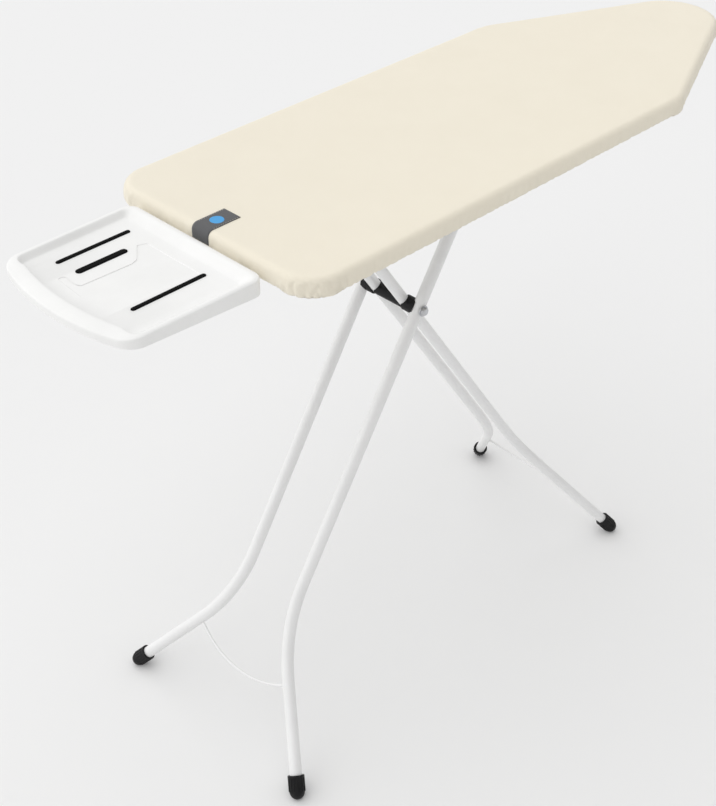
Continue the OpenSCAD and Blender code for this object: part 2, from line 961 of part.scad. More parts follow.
module inner_wire() {
    half = inner_foot_y - (inner_foot_y - inner_top_y) * (inner_wire_s + 18) / inner_splay;
    color(powder_white)
    at_heel()
    difference() {
        lean(inner_foot_x, 180 - inner_lean, 1)
        bow_wire(inner_bow_r, inner_wire_s, half);
        for (s = [-1, 1])
            lean(inner_foot_x, 180 - inner_lean, s)
            bent_bar(inner_r + seat_gap, inner_foot_y, inner_top_y, inner_splay, inner_splay + 100, 20);
    }
}

module inner_foot(side) {
    color(black_plastic)
    at_heel()
    foot_cap(inner_r, 180 - inner_lean, inner_foot_x, inner_foot_y, inner_top_y, inner_splay, side);
}

module inner_foot_left() {
    inner_foot(1);
}

module inner_foot_right() {
    inner_foot(-1);
}

module inner_saddle(side) {
    saddle(inner_top_y, inner_r, inner_foot_x, 180 - inner_lean,
        inner_top_y + 3, pivot_face_y - move_gap / 2, side);
}

module inner_saddle_left() {
    inner_saddle(1);
}

module inner_saddle_right() {
    inner_saddle(-1);
}

// The spacer between the two inner tubes.
module pivot_hub() {
    reach = inner_top_y - 3;
    color(black_plastic)
    at_heel()
    difference() {
        rod_y(pivot_x, pivot_z, saddle_r - 2, -reach, reach);
        rod_y(pivot_x, pivot_z, bolt_r + turn_gap, -reach - 1, reach + 1);
        for (s = [-1, 1])
            translate([inner_foot_x, s * inner_top_y, 0])
            rotate([0, inner_lean - 90, 0])
            cylinder(h = board_h * 2, r = inner_r + seat_gap);
    }
}

module pivot_bolt() {
    color(zinc)
    at_heel() {
        rod_y(pivot_x, pivot_z, bolt_r, -head_y - washer_t - 1, head_y + washer_t + 5);
        translate([pivot_x, -head_y - washer_t - seat_gap, pivot_z])
        rotate([90, 0, 0])
        difference() {
            sphere(r = bolt_r + 4);
            translate([0, 0, -20])
            cylinder(h = 20, r = 20);
            translate([0, 0, bolt_r + 1])
            cylinder(h = 20, r = 20);
        }
    }
}

module pivot_nut() {
    color(black_plastic)
    at_heel()
    difference() {
        rod_y(pivot_x, pivot_z, bolt_r + 4, nut_y, nut_y + nut_l);
        rod_y(pivot_x, pivot_z, bolt_r + seat_gap, nut_y - 1, nut_y + nut_l - 2.5);
    }
}

module pivot_washers() {
    color(zinc)
    at_heel()
    for (s = [-1, 1])
        scale([1, s, 1])
        difference() {
            rod_y(pivot_x, pivot_z, bolt_r + 6, head_y, head_y + washer_t);
            rod_y(pivot_x, pivot_z, bolt_r + seat_gap, head_y - 1, head_y + washer_t + 1);
        }
}

// ---------- what is drawn ----------

cover();
foam_pad();
deck_mesh();
rim_heel();
rim_left();
rim_right();
rim_nose();
tail_rail();
hinge_rail();
latch_rail();
nose_rail();
guide_rail_left();
guide_rail_right();
hinge_bracket();
hinge_pin();
lever_bracket();
label_tab();
iron_rest();
rest_strip_left();
rest_strip_broad();
rest_strip_right();
rest_arm_left();
rest_arm_right();
rest_arm_clamps();
rest_screws();
lever_shaft();
latch_hook();
lever_paddle();
lever_spring();
outer_leg_left();
outer_leg_right();
top_bar();
glide_left();
glide_right();
outer_wire();
outer_foot_left();
outer_foot_right();
outer_saddle_left();
outer_saddle_right();
inner_leg_left();
inner_leg_right();
hinge_tube();
inner_wire();
inner_foot_left();
inner_foot_right();
inner_saddle_left();
inner_saddle_right();
pivot_hub();
pivot_bolt();
pivot_nut();
pivot_washers();
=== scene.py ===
# %% [markdown]
# # A folding ironing board, piece by piece
# The frame of the board, its legs, joints and brackets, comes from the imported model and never
# moves. This lesson adds what a maker would add last: the sewn cover over its pad, the expanded
# steel deck, the moulded iron rest, the ribbed feet, and a finish for every surface.

# %% The frame
import json
import math
import random

import bmesh
import bpy
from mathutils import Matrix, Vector, geometry, noise

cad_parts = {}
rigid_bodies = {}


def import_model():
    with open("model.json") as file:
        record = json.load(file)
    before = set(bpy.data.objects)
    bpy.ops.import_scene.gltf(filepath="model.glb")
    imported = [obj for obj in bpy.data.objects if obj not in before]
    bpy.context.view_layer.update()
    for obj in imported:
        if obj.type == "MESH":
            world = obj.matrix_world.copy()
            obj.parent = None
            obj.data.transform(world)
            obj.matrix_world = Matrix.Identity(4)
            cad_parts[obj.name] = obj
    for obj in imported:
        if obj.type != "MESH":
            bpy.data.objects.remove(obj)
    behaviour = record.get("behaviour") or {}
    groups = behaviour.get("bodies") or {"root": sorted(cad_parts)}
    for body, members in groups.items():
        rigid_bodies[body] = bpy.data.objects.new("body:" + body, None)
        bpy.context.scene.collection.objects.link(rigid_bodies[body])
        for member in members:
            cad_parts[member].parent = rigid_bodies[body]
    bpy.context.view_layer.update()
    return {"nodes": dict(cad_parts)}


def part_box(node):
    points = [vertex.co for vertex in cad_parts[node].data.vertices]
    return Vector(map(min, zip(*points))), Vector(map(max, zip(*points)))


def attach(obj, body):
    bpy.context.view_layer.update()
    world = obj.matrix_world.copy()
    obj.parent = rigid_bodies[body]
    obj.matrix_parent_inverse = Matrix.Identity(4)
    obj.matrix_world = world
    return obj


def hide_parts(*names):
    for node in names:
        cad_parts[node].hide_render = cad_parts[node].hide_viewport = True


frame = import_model()
nodes = frame["nodes"]

# %% [markdown]
# ## The camera
# The camera stands in front of the near corner of the iron rest, well above the board, and looks
# down along it. A long lens keeps the legs nearly parallel.

# %% Camera
YAW, PITCH = math.radians(44.96), math.radians(36.65)
FOCAL = 63.57
CAMERA_PLACE = (-1.598557, -1.428906, 2.051184)


def add_camera(place):
    """A camera at place that looks along YAW and down by PITCH."""
    lens = bpy.data.cameras.new("camera")
    lens.lens, lens.sensor_width = FOCAL, 36
    lens.clip_start, lens.clip_end = 0.05, 50
    camera = bpy.data.objects.new("camera", lens)
    bpy.context.scene.collection.objects.link(camera)
    level = math.cos(PITCH)
    ahead = Vector((math.sin(YAW) * level, math.cos(YAW) * level, -math.sin(PITCH)))
    camera.location = place
    camera.rotation_mode = "QUATERNION"
    camera.rotation_quaternion = ahead.to_track_quat("-Z", "Y")
    bpy.context.scene.camera = camera
    return camera


camera = add_camera(CAMERA_PLACE)
print("camera at", tuple(camera.location))

# %% [markdown]
# ## Floor and light
# The floor is pale and the light is broad, so shadows are soft and shallow. One very wide distant
# light on the left does the shaping, and the sky fills in the rest.

# %% Floor, sky and lamps
FLOOR_TONE, FLOOR_HALF = (0.86, 0.86, 0.86), 30.0
SKY_STRENGTH = 0.6
KEY_PLACE, KEY_AIM, KEY_SPREAD, KEY_STRENGTH = (-1.4, 1.6, 3.6), (0, 0, 0.8), 2.0, 1.65


def link(obj):
    """Puts a new object into the scene and gives it back."""
    bpy.context.scene.collection.objects.link(obj)
    return obj


def add_lamp(name, place, aim, spread, strength):
    """A distant light from place towards aim, seen under the angle spread in radians."""
    far = bpy.data.lights.new(name, "SUN")
    far.angle, far.energy = spread, strength
    lamp = link(bpy.data.objects.new(name, far))
    lamp.location = place
    lamp.rotation_mode = "QUATERNION"
    lamp.rotation_quaternion = (Vector(aim) - Vector(place)).to_track_quat("-Z", "Y")
    return lamp


world = bpy.data.worlds.new("studio")
world.use_nodes = True
world.node_tree.nodes["Background"].inputs["Color"].default_value = (1, 1, 1, 1)
world.node_tree.nodes["Background"].inputs["Strength"].default_value = SKY_STRENGTH
bpy.context.scene.world = world
bpy.context.scene.view_settings.view_transform = "Standard"
add_lamp("key_light", KEY_PLACE, KEY_AIM, KEY_SPREAD, KEY_STRENGTH)

floor_mesh = bpy.data.meshes.new("floor")
floor_corners = [(x * FLOOR_HALF, y * FLOOR_HALF, 0) for x, y in ((-1, -1), (1, -1), (1, 1), (-1, 1))]
floor_mesh.from_pydata(floor_corners, [], [(0, 1, 2, 3)])
floor = link(bpy.data.objects.new("floor", floor_mesh))

# %% [markdown]
# ## Building node trees
# Shader trees and geometry trees are built the same way: a node is added, its sockets get values
# or links. One helper does it for both, so the finishes below stay short and readable.

# %% Node helper
def put(tree, kind, inputs=None, **settings):
    """Adds a node, applies its settings, and fills its inputs with values or links."""
    node = tree.nodes.new(kind)
    for key, value in settings.items():
        setattr(node, key, value)
    for key, value in (inputs or {}).items():
        socket = node.inputs[key]
        if isinstance(value, bpy.types.NodeSocket):
            tree.links.new(value, socket)
        else:
            socket.default_value = value
    return node


def maths(tree, operation, *values):
    """A Math node's result for the given values or sockets."""
    node = put(tree, "ShaderNodeMath", operation=operation)
    for socket, value in zip(node.inputs, values):
        if isinstance(value, bpy.types.NodeSocket):
            tree.links.new(value, socket)
        else:
            socket.default_value = value
    return node.outputs[0]


def shader_group(name, inputs, outputs):
    """A new shader group with float or vector inputs, and its two end nodes."""
    tree = bpy.data.node_groups.new(name, "ShaderNodeTree")
    for label, kind, value in inputs:
        socket = tree.interface.new_socket(label, in_out="INPUT", socket_type=kind)
        if value is not None:
            socket.default_value = value
    for label, kind in outputs:
        tree.interface.new_socket(label, in_out="OUTPUT", socket_type=kind)
    return tree, tree.nodes.new("NodeGroupInput"), tree.nodes.new("NodeGroupOutput")


FLOAT, VECTOR = "NodeSocketFloat", "NodeSocketVector"

# %% [markdown]
# ## Shared effects
# Three effects turn up in more than one finish. Woven cloth is over-and-under threads, which two
# crossed sine waves and a checker of phases describe well. A moulded or powder-coated skin is
# fine noise at two sizes. Handling leaves faint cloudy patches that change the roughness.

# %% Weave group
def build_weave():
    """Threads crossing over and under: a height and a mask of the thread tops."""
    tree, start, end = shader_group(
        "weave", [("Vector", VECTOR, None), ("Threads per metre", FLOAT, 1400.0), ("Slub", FLOAT, 0.2)],
        [("Height", FLOAT), ("Thread", FLOAT)])
    slub = put(tree, "ShaderNodeTexNoise", {"Vector": start.outputs[0], "Scale": 90.0, "Detail": 2.0})
    shift = maths(tree, "MULTIPLY", slub.outputs["Fac"], start.outputs["Slub"])
    split = put(tree, "ShaderNodeSeparateXYZ", {0: start.outputs[0]})
    waves = []
    for axis in ("X", "Y"):
        turns = maths(tree, "MULTIPLY", split.outputs[axis], start.outputs["Threads per metre"])
        waves.append(maths(tree, "ADD", maths(tree, "MULTIPLY", turns, math.pi), shift))
    over = maths(tree, "MULTIPLY", maths(tree, "SINE", waves[0]), maths(tree, "SINE", waves[1]))
    across = maths(tree, "ABSOLUTE", maths(tree, "SINE", maths(tree, "MULTIPLY", waves[0], 2.0)))
    along = maths(tree, "ABSOLUTE", maths(tree, "SINE", maths(tree, "MULTIPLY", waves[1], 2.0)))
    mixed = maths(tree, "MULTIPLY_ADD", over, 0.5, 0.5)
    rounded = maths(tree, "MULTIPLY", maths(tree, "MAXIMUM", across, along), mixed)
    tree.links.new(rounded, end.inputs["Height"])
    tree.links.new(mixed, end.inputs["Thread"])
    return tree


WEAVE = build_weave()

# %% Skin and handling groups
def build_skin():
    """Fine grain at two sizes, as a height."""
    tree, start, end = shader_group(
        "skin_grain", [("Vector", VECTOR, None), ("Scale", FLOAT, 900.0), ("Coarse share", FLOAT, 0.4)],
        [("Height", FLOAT)])
    where, scale = start.outputs["Vector"], start.outputs["Scale"]
    fine = put(tree, "ShaderNodeTexNoise", {"Vector": where, "Scale": scale, "Detail": 3.0})
    wide = put(tree, "ShaderNodeTexNoise",
               {"Vector": where, "Scale": maths(tree, "MULTIPLY", scale, 0.22), "Detail": 1.0})
    blend = put(tree, "ShaderNodeMix",
                {"Factor": start.outputs["Coarse share"], 2: fine.outputs["Fac"], 3: wide.outputs["Fac"]})
    tree.links.new(blend.outputs[0], end.inputs["Height"])
    return tree


def build_handling():
    """Faint cloudy patches, from 0 where clean to 1 where handled."""
    tree, start, end = shader_group(
        "handling", [("Vector", VECTOR, None), ("Scale", FLOAT, 14.0), ("Contrast", FLOAT, 0.6)],
        [("Mask", FLOAT)])
    cloud = put(tree, "ShaderNodeTexNoise", {
        "Vector": start.outputs[0], "Scale": start.outputs["Scale"], "Detail": 5.0, "Roughness": 0.62})
    contrast = start.outputs["Contrast"]
    spread = put(tree, "ShaderNodeMapRange", {
        "Value": cloud.outputs["Fac"], "From Min": maths(tree, "MULTIPLY", contrast, 0.62),
        "From Max": maths(tree, "SUBTRACT", 1.0, maths(tree, "MULTIPLY", contrast, 0.5))})
    tree.links.new(spread.outputs[0], end.inputs["Mask"])
    return tree


SKIN, HANDLING = build_skin(), build_handling()

# %% [markdown]
# ## Finishes
# Each finish is a Principled BSDF whose colour and roughness drift a little with the handling
# mask, and whose bump comes from one of the groups. In the cloth the colour also darkens between
# the threads, which is painted shade. Values that are the same all over stay on the shader itself.

# %% Finish helpers
def new_finish(name, tone, roughness, **extra):
    """A material with a Principled BSDF, and its tree and shader."""
    material = bpy.data.materials.new(name)
    material.use_nodes = True
    tree = material.node_tree
    shader = tree.nodes["Principled BSDF"]
    shader.inputs["Base Color"].default_value = (*tone, 1)
    shader.inputs["Roughness"].default_value = roughness
    for key, value in extra.items():
        shader.inputs[key.replace("_", " ")].default_value = value
    material.diffuse_color = (*tone, 1)
    return material, tree, shader


def place_of(tree, kind="Object"):
    """The texture coordinates that a pattern reads."""
    return put(tree, "ShaderNodeTexCoord").outputs[kind]


def group(tree, built, **values):
    """A copy of a shared group in a material."""
    node = put(tree, "ShaderNodeGroup", node_tree=built)
    for key, value in values.items():
        socket = node.inputs[key.replace("_", " ")]
        if isinstance(value, bpy.types.NodeSocket):
            tree.links.new(value, socket)
        else:
            socket.default_value = value
    return node


def drift(tree, shader, mask, tone, worn, smooth, rough):
    """Colour and roughness that follow a mask."""
    colour = put(tree, "ShaderNodeMix", {"Factor": mask, 6: (*tone, 1), 7: (*worn, 1)}, data_type="RGBA")
    tree.links.new(colour.outputs[2], shader.inputs["Base Color"])
    gloss = put(tree, "ShaderNodeMapRange", {"Value": mask, "To Min": smooth, "To Max": rough})
    tree.links.new(gloss.outputs[0], shader.inputs["Roughness"])


def bump(tree, shader, height, distance, strength=1.0):
    """Bump from a height between 0 and 1, distance metres deep."""
    node = put(tree, "ShaderNodeBump", {"Height": height, "Distance": distance, "Strength": strength})
    tree.links.new(node.outputs[0], shader.inputs["Normal"])


def skin_finish(name, tone, worn, roughness, grain, depth, scale=14.0, **extra):
    """A moulded, painted or plated skin: grain in the bump, handling in colour and roughness."""
    material, tree, shader = new_finish(name, tone, roughness, **extra)
    where = place_of(tree)
    mask = group(tree, HANDLING, Vector=where, Scale=scale).outputs["Mask"]
    drift(tree, shader, mask, tone, worn, roughness, roughness + 0.1)
    bump(tree, shader, group(tree, SKIN, Vector=where, Scale=grain).outputs["Height"], depth)
    return material


# %% The metal and plastic finishes
POWDER = skin_finish("powder_white", (0.85, 0.85, 0.848), (0.82, 0.82, 0.818), 0.3, 700, 0.00012,
                     Coat_Weight=0.25, Coat_Roughness=0.12)
MOULDED = skin_finish("moulded_white", (0.9, 0.9, 0.89), (0.87, 0.87, 0.86), 0.4, 1500, 0.00006)
ZINC = skin_finish("zinc_plate", (0.56, 0.57, 0.59), (0.46, 0.46, 0.47), 0.28, 420, 0.00005,
                   scale=60.0, Metallic=1.0)
BLACK = skin_finish("black_plastic", (0.006, 0.006, 0.0065), (0.012, 0.012, 0.0125), 0.45, 1100, 0.00008,
                    Specular_IOR_Level=0.22)
RUBBER = skin_finish("strip_rubber", (0.002, 0.002, 0.0021), (0.004, 0.004, 0.004), 0.8, 800, 0.0001,
                     Specular_IOR_Level=0.12)
print("finishes", [m.name for m in bpy.data.materials if m.use_nodes])

# %% [markdown]
# ## Cloth finishes
# The cover is cream cotton in a plain weave. Its pattern follows the flat cut, which the piece
# carries as its UV map, so the threads bend over the edge with the cloth instead of sliding
# through it. The label is a denser ribbon.

# %% Cover cotton, foam, ribbon, thread
def cloth_finish(name, tone, painted_gap_shade_and_wear, threads, depth, sheen, rough=0.85):
    """Woven cloth that reads the piece's own UV map, with painted shade between the threads mixed into its
    handling marks.
    """
    material, tree, shader = new_finish(name, tone, rough, Sheen_Weight=sheen, Sheen_Roughness=0.4)
    where = place_of(tree, "UV")
    weave = group(tree, WEAVE, Vector=where, Threads_per_metre=threads)
    cloud = group(tree, HANDLING, Vector=where, Scale=9.0, Contrast=0.5).outputs["Mask"]
    # The low parts of the weave, between the threads, get painted shade; the handling mask adds real marks on
    # top.
    low = maths(tree, "SUBTRACT", 1.0, weave.outputs["Thread"])
    mask = maths(tree, "ADD", maths(tree, "MULTIPLY", low, 0.55), maths(tree, "MULTIPLY", cloud, 0.3))
    drift(tree, shader, mask, tone, painted_gap_shade_and_wear, rough - 0.04, rough + 0.05)
    bump(tree, shader, weave.outputs["Height"], depth, 0.8)
    return material


# Each cloth's second colour is painted shade between the threads, mixed with handling marks.
COTTON = cloth_finish("cream_cotton", (0.93, 0.87, 0.735), (0.87, 0.805, 0.665), 1250, 0.00022, 0.2)
PRINT = skin_finish("blue_print", (0.07, 0.38, 0.78), (0.06, 0.35, 0.72), 0.5, 2600, 0.00002)
RIBBON = cloth_finish("grey_ribbon", (0.13, 0.132, 0.136), (0.07, 0.071, 0.074), 2200, 0.00015, 0.15)
THREAD = skin_finish("cream_thread", (0.84, 0.78, 0.66), (0.7, 0.64, 0.52), 0.8, 3000, 0.00005)
FOAM = skin_finish("pad_foam", (0.8, 0.77, 0.68), (0.7, 0.67, 0.58), 0.95, 350, 0.0006)
FLOOR_PAINT = skin_finish("studio_floor", FLOOR_TONE, FLOOR_TONE, 0.9, 60, 0.00002)
floor.data.materials.append(FLOOR_PAINT)

# %% [markdown]
# ## The board's outline
# The board is a long rounded rectangle that narrows to a round nose. Every layer of it, the
# cover, the pad and the deck, is that outline drawn in or out by some distance, so one function
# gives the outline at any inset. It always returns the same number of points, which lets
# neighbouring insets be joined with plain four-sided faces.

# %% Outline
COVER_LO, COVER_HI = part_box("cover")
HEEL, TOP = COVER_LO.x, COVER_HI.z
BOARD_L, BOARD_W = COVER_HI.x - COVER_LO.x, COVER_HI.y - COVER_LO.y
CORNER_R, SHOULDER_R, NOSE_R, STRAIGHT_L = 0.058, 0.095, 0.09, 0.87
CORNER_POINTS, SHOULDER_POINTS, NOSE_POINTS = 28, 10, 26
STEP, SLANT_L = 0.0036, 0.327

run = Vector((BOARD_L - NOSE_R - STRAIGHT_L, BOARD_W / 2))
TAPER = math.atan2(run.y, run.x) - math.asin(NOSE_R / run.length)


def turn_points(centre, radius, start, stop, count):
    """Points on a round corner, without the last one."""
    angles = [start + (stop - start) * i / count for i in range(count)]
    return [(centre[0] + radius * math.cos(a), centre[1] + radius * math.sin(a)) for a in angles]


def straight_points(a, b, count):
    """Points along a straight edge, without the last one."""
    return [(a[0] + (b[0] - a[0]) * i / count, a[1] + (b[1] - a[1]) * i / count) for i in range(count)]


def board_ring(inset):
    """The board's outline drawn in by inset, as points from the middle of the heel and round."""
    half = BOARD_W / 2
    corner = (HEEL + CORNER_R, -half + CORNER_R)
    shoulder = (HEEL + STRAIGHT_L - SHOULDER_R * math.tan(TAPER / 2), -half + SHOULDER_R)
    nose = (HEEL + BOARD_L - NOSE_R, 0.0)
    down, turned = math.radians(270), math.radians(270) + TAPER
    c, s, n = CORNER_R - inset, SHOULDER_R - inset, NOSE_R - inset
    leave = (shoulder[0] + s * math.cos(turned), shoulder[1] + s * math.sin(turned))
    reach = (nose[0] + n * math.cos(turned), nose[1] + n * math.sin(turned))
    path = straight_points((HEEL + inset, 0), (HEEL + inset, corner[1]), round((half - CORNER_R) / STEP))
    path += turn_points(corner, c, math.pi, down, CORNER_POINTS)
    path += straight_points((corner[0], -half + inset), (shoulder[0], -half + inset),
                            round((shoulder[0] - corner[0]) / STEP))
    path += turn_points(shoulder, s, down, turned, SHOULDER_POINTS)
    path += straight_points(leave, reach, round(SLANT_L / STEP))
    path += turn_points(nose, n, turned, 2 * math.pi, NOSE_POINTS)
    path.append((nose[0] + n, 0.0))
    return path + [(x, -y) for x, y in reversed(path[1:-1])]


RING = len(board_ring(0))
print("board", round(BOARD_L, 3), "x", round(BOARD_W, 3), "m, outline points", RING)

# %% [markdown]
# ## Making meshes from rings
# A helper joins a stack of rings into a band of quads, and others turn lists into objects, give
# them a finish, and smooth their faces except across sharp edges.

# %% Mesh helpers
def make_piece(name, verts, faces, material, sharp=None):
    """A new object from vertices and faces, smooth apart from edges sharper than sharp degrees."""
    mesh = bpy.data.meshes.new(name)
    mesh.from_pydata([tuple(v) for v in verts], [], faces)
    mesh.materials.append(material)
    mesh.shade_smooth()
    if sharp:
        mesh.set_sharp_from_angle(angle=math.radians(sharp))
    mesh.update()
    return link(bpy.data.objects.new(name, mesh))


def band_faces(rows, around, first=0, closed=True):
    """Quads that join rows of points, each row having around points."""
    quads = []
    for r in range(rows - 1):
        for i in range(around if closed else around - 1):
            j = (i + 1) % around
            a = first + r * around
            quads.append((a + i, a + j, a + around + j, a + around + i))
    return quads


def recalc(obj):
    """Merges doubled points and turns all faces of a closed shape outwards."""
    shape = bmesh.new()
    shape.from_mesh(obj.data)
    bmesh.ops.remove_doubles(shape, verts=shape.verts, dist=1e-6)
    bmesh.ops.recalc_face_normals(shape, faces=shape.faces)
    shape.to_mesh(obj.data)
    shape.free()
    return obj


def bake_modifiers(obj):
    """Replaces an object's mesh with the one its modifiers make, and drops the modifiers."""
    depsgraph = bpy.context.evaluated_depsgraph_get()
    made = bpy.data.meshes.new_from_object(obj.evaluated_get(depsgraph), depsgraph=depsgraph,
                                           preserve_all_data_layers=True)
    obj.modifiers.clear()
    obj.data = made
    return obj


# %% [markdown]
# ## The cover's cut
# A board cover is one flat piece of cotton, cut larger than the board all round. It wraps over
# the edge, hangs down as a skirt and turns in under the rim, where a drawn hem pulls it tight.
# A row of the wrapped shape is given by its inset and its level; the same row in the flat cut
# lies at the distance walked along the cloth. At a corner the flat cut is longer than the place
# it is drawn into, and that is where the gathers come from.

# %% Rows of the cover
EDGE_R = 0.0095
SKIRT = TOP - COVER_LO.z
CLOTH = 0.0008
TOP_INSETS = [0.05, 0.042, 0.034, 0.027, 0.0205, 0.0145]
TURNED_IN = 0.028


def cover_rows():
    """(inset, level) of each row of the wrapped cover, from the top over the edge and under the rim."""
    rows = [(k, TOP - CLOTH / 2) for k in TOP_INSETS]
    for i in range(5):
        a = math.radians(90 * i / 4)
        rows.append((EDGE_R * (1 - math.sin(a)), TOP - CLOTH / 2 - EDGE_R * (1 - math.cos(a))))
    high, low = rows[-1][1], TOP - SKIRT + 0.003
    rows += [(0.0, high + (low - high) * i / 3) for i in range(1, 4)]
    rows.append((0.0012, TOP - SKIRT + 0.0008))
    rows += [(0.004 + TURNED_IN * i / 4, TOP - SKIRT + 0.0003 + 0.0004 * i) for i in range(5)]
    return rows


ROWS = cover_rows()
walked = [0.0]
for (k0, z0), (k1, z1) in zip(ROWS, ROWS[1:]):
    walked.append(walked[-1] + math.hypot(k1 - k0, z1 - z0))
SHIRR, SHIRR_FROM = 0.035, 0.045
print("cover rows", len(ROWS), "cloth from the top ring to the hem", round(walked[-1], 4), "m")


def wrapped_and_flat():
    """The cover's band in two states: drawn round the board, and lying flat as it was cut."""
    wrapped, flat = [], []
    middle = HEEL + BOARD_L / 2
    for (inset, level), run_out in zip(ROWS, walked):
        pull = 1 + SHIRR * max(0.0, run_out - SHIRR_FROM) / (walked[-1] - SHIRR_FROM)
        cut = board_ring(ROWS[0][0] - run_out)
        for (x, y), (fx, fy) in zip(board_ring(inset), cut):
            wrapped.append(Vector((x, y, level)))
            flat.append(Vector((middle + (fx - middle) * pull, fy * pull, TOP)))
    return wrapped, flat


WRAPPED, FLAT = wrapped_and_flat()

# %% [markdown]
# ## Letting the cloth settle
# Blender's cloth solver works best on big shapes, so the band is simulated ten times life size.
# It starts in the wrapped shape, with its threads grown by what the cut has too much of there.
# The top ring is held by the pad and the hem's inner ring by its drawn cord; between them the pad
# only leans against the cloth, which a weak hold stands for. The cloth that is too long for its
# place buckles out into puckers, most of all round the corners.

# %% Simulate the cover
BIG = 10.0
FRAMES = 26
HOLDS = [1.0, 1.0] + [0.5] * 4 + [0.4] * 4 + [0.2] * 4 + [0.35] * 5 + [1.0]
SURPLUS = 0.1
RIPPLE, RIPPLE_JITTER, RIPPLE_FROM = 0.0006, 0.0004, 0.03
LABEL_MARGIN = 0.004
LABEL_LO, LABEL_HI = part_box("label_tab")
LABEL_Y, LABEL_W = (LABEL_LO.y + LABEL_HI.y) / 2, LABEL_HI.y - LABEL_LO.y
LABEL_ON, LABEL_T = LABEL_HI.x - HEEL, 0.0007
LABEL_DROP = LABEL_HI.z - LABEL_LO.z


def surplus(i):
    """How much longer the cut is than its place at band point i, as a share of SURPLUS up to 1."""
    row, turn = divmod(i, RING)
    after = row * RING + (turn + 1) % RING
    place, cut = (WRAPPED[after] - WRAPPED[i]).length, (FLAT[after] - FLAT[i]).length
    return max(0.0, min(1.0, (cut / place - 1) / SURPLUS))


def under_label(p):
    """Whether a band point lies under the label, which keeps the cloth flat."""
    return p.x < LABEL_HI.x + LABEL_MARGIN and abs(p.y - LABEL_Y) < LABEL_W / 2 + LABEL_MARGIN


def rippled(dice):
    """The wrapped band with a faint ripple, which gives the buckles somewhere to start."""
    start = []
    for i, p in enumerate(WRAPPED):
        row, turn = divmod(i, RING)
        slack = max(0.0, walked[row] - RIPPLE_FROM) / walked[-1]
        wave = math.sin(turn * 0.9 + 0.4 * row) + math.sin(turn * 0.37 - 0.2 * row)
        jitter = 0.0 if under_label(p) else dice.uniform(-RIPPLE_JITTER, RIPPLE_JITTER)
        ripple = 0.0 if under_label(p) else abs(RIPPLE * wave + jitter)
        inner = Vector((max(min(p.x, HEEL + BOARD_L - NOSE_R), HEEL + 0.15), 0, 0))
        out = Vector((p.x, p.y, 0)) - inner
        start.append(p + out.normalized() * ripple * slack)
    return start


def settle_cover():
    """Runs the cloth and returns the band's settled points, at life size."""
    start = [p * BIG for p in rippled(random.Random(11))]
    sheet = make_piece("cover_sim", start, band_faces(len(ROWS), RING), COTTON)
    held = sheet.vertex_groups.new(name="held")
    drawn = sheet.vertex_groups.new(name="drawn")
    for row, share in enumerate(HOLDS):
        held.add(list(range(row * RING, (row + 1) * RING)), share, "REPLACE")
    for i, p in enumerate(WRAPPED):
        flat_here = under_label(p)
        drawn.add([i], 1.0 if flat_here else 1.0 - surplus(i), "REPLACE")
        if flat_here:
            held.add([i], 1.0, "REPLACE")
    cloth = sheet.modifiers.new("cloth", "CLOTH")
    s = cloth.settings
    s.quality, s.mass, s.air_damping = 6, 0.3, 3
    s.tension_stiffness, s.compression_stiffness = 40, 40
    s.shear_stiffness, s.bending_stiffness = 10, 0.15
    s.tension_damping = s.compression_damping = s.shear_damping = 8
    s.shrink_min, s.shrink_max = -SURPLUS, 0.0
    s.vertex_group_mass, s.vertex_group_shrink, s.pin_stiffness = "held", "drawn", 1.0
    s.effector_weights.gravity = 0.0
    cloth.collision_settings.use_collision = False
    cloth.point_cache.frame_start, cloth.point_cache.frame_end = 1, FRAMES
    for f in range(1, FRAMES + 1):
        bpy.context.scene.frame_set(f)
    seen = sheet.evaluated_get(bpy.context.evaluated_depsgraph_get()).to_mesh()
    settled = [v.co / BIG for v in seen.vertices]
    bpy.context.scene.frame_set(1)
    bpy.data.objects.remove(sheet)
    return settled


BAND = settle_cover()
moved = [(a - b).length for a, b in zip(BAND, WRAPPED)]
print("cover settled, moved at most", round(max(moved) * 1000, 1), "mm, mean",
      round(sum(moved) / len(moved) * 1000, 2))

# %% [markdown]
# The solver lets some of the cloth stray too far from the board. Every point further than REACH
# from its wrapped place is drawn back to that distance, and none is left below LOWEST.

# %% Keep the cloth near the board
REACH, LOWEST = 0.0055, COVER_LO.z - 0.002


def kept(p, home):
    """A settled point, drawn back if it strayed further than REACH from its place."""
    away = p - home
    return home + away * (REACH / away.length) if away.length > REACH else p


BAND = [kept(p, home) for p, home in zip(BAND, WRAPPED)]
BAND = [Vector((p.x, p.y, max(p.z, LOWEST))) for p in BAND]

# %% [markdown]
# The solver's grid is too coarse for the sharp little creases that a drawn hem pulls into a corner.
# They are pressed in afterwards: a narrow groove in the skirt, deepest at its foot, with the cloth
# beside it pushed out a little.

# %% Creases by the heel corner
# The outline point and the depth in metres of each crease; then its share by points to the side.
CREASES = {52: 0.0008, 57: 0.0017, 60: 0.0013, 66: 0.0010, 71: 0.0012, 77: 0.0019, 92: 0.0009, 118: 0.0007}
CREASE_SHAPE = {-2: -0.25, -1: 0.3, 0: 1.0, 1: 0.3, 2: -0.25}
FIRST_CREASED, FULLY_CREASED, LAST_CREASED = 8, 13, 16
CREASE_AIM = Vector((HEEL + 0.12, -0.1, 0))


def press_creases():
    """Moves the skirt's points inwards along each crease and outwards beside it."""
    for turn, depth in CREASES.items():
        for step, share in CREASE_SHAPE.items():
            for row in range(FIRST_CREASED, LAST_CREASED + 1):
                i = row * RING + (turn + step) % RING
                grown = min(1.0, (row - FIRST_CREASED + 1) / (FULLY_CREASED - FIRST_CREASED + 1))
                out = Vector((WRAPPED[i].x, WRAPPED[i].y, 0)) - CREASE_AIM
                BAND[i] = BAND[i] - out.normalized() * (depth * share * grown)


press_creases()
print("creases", len(CREASES))

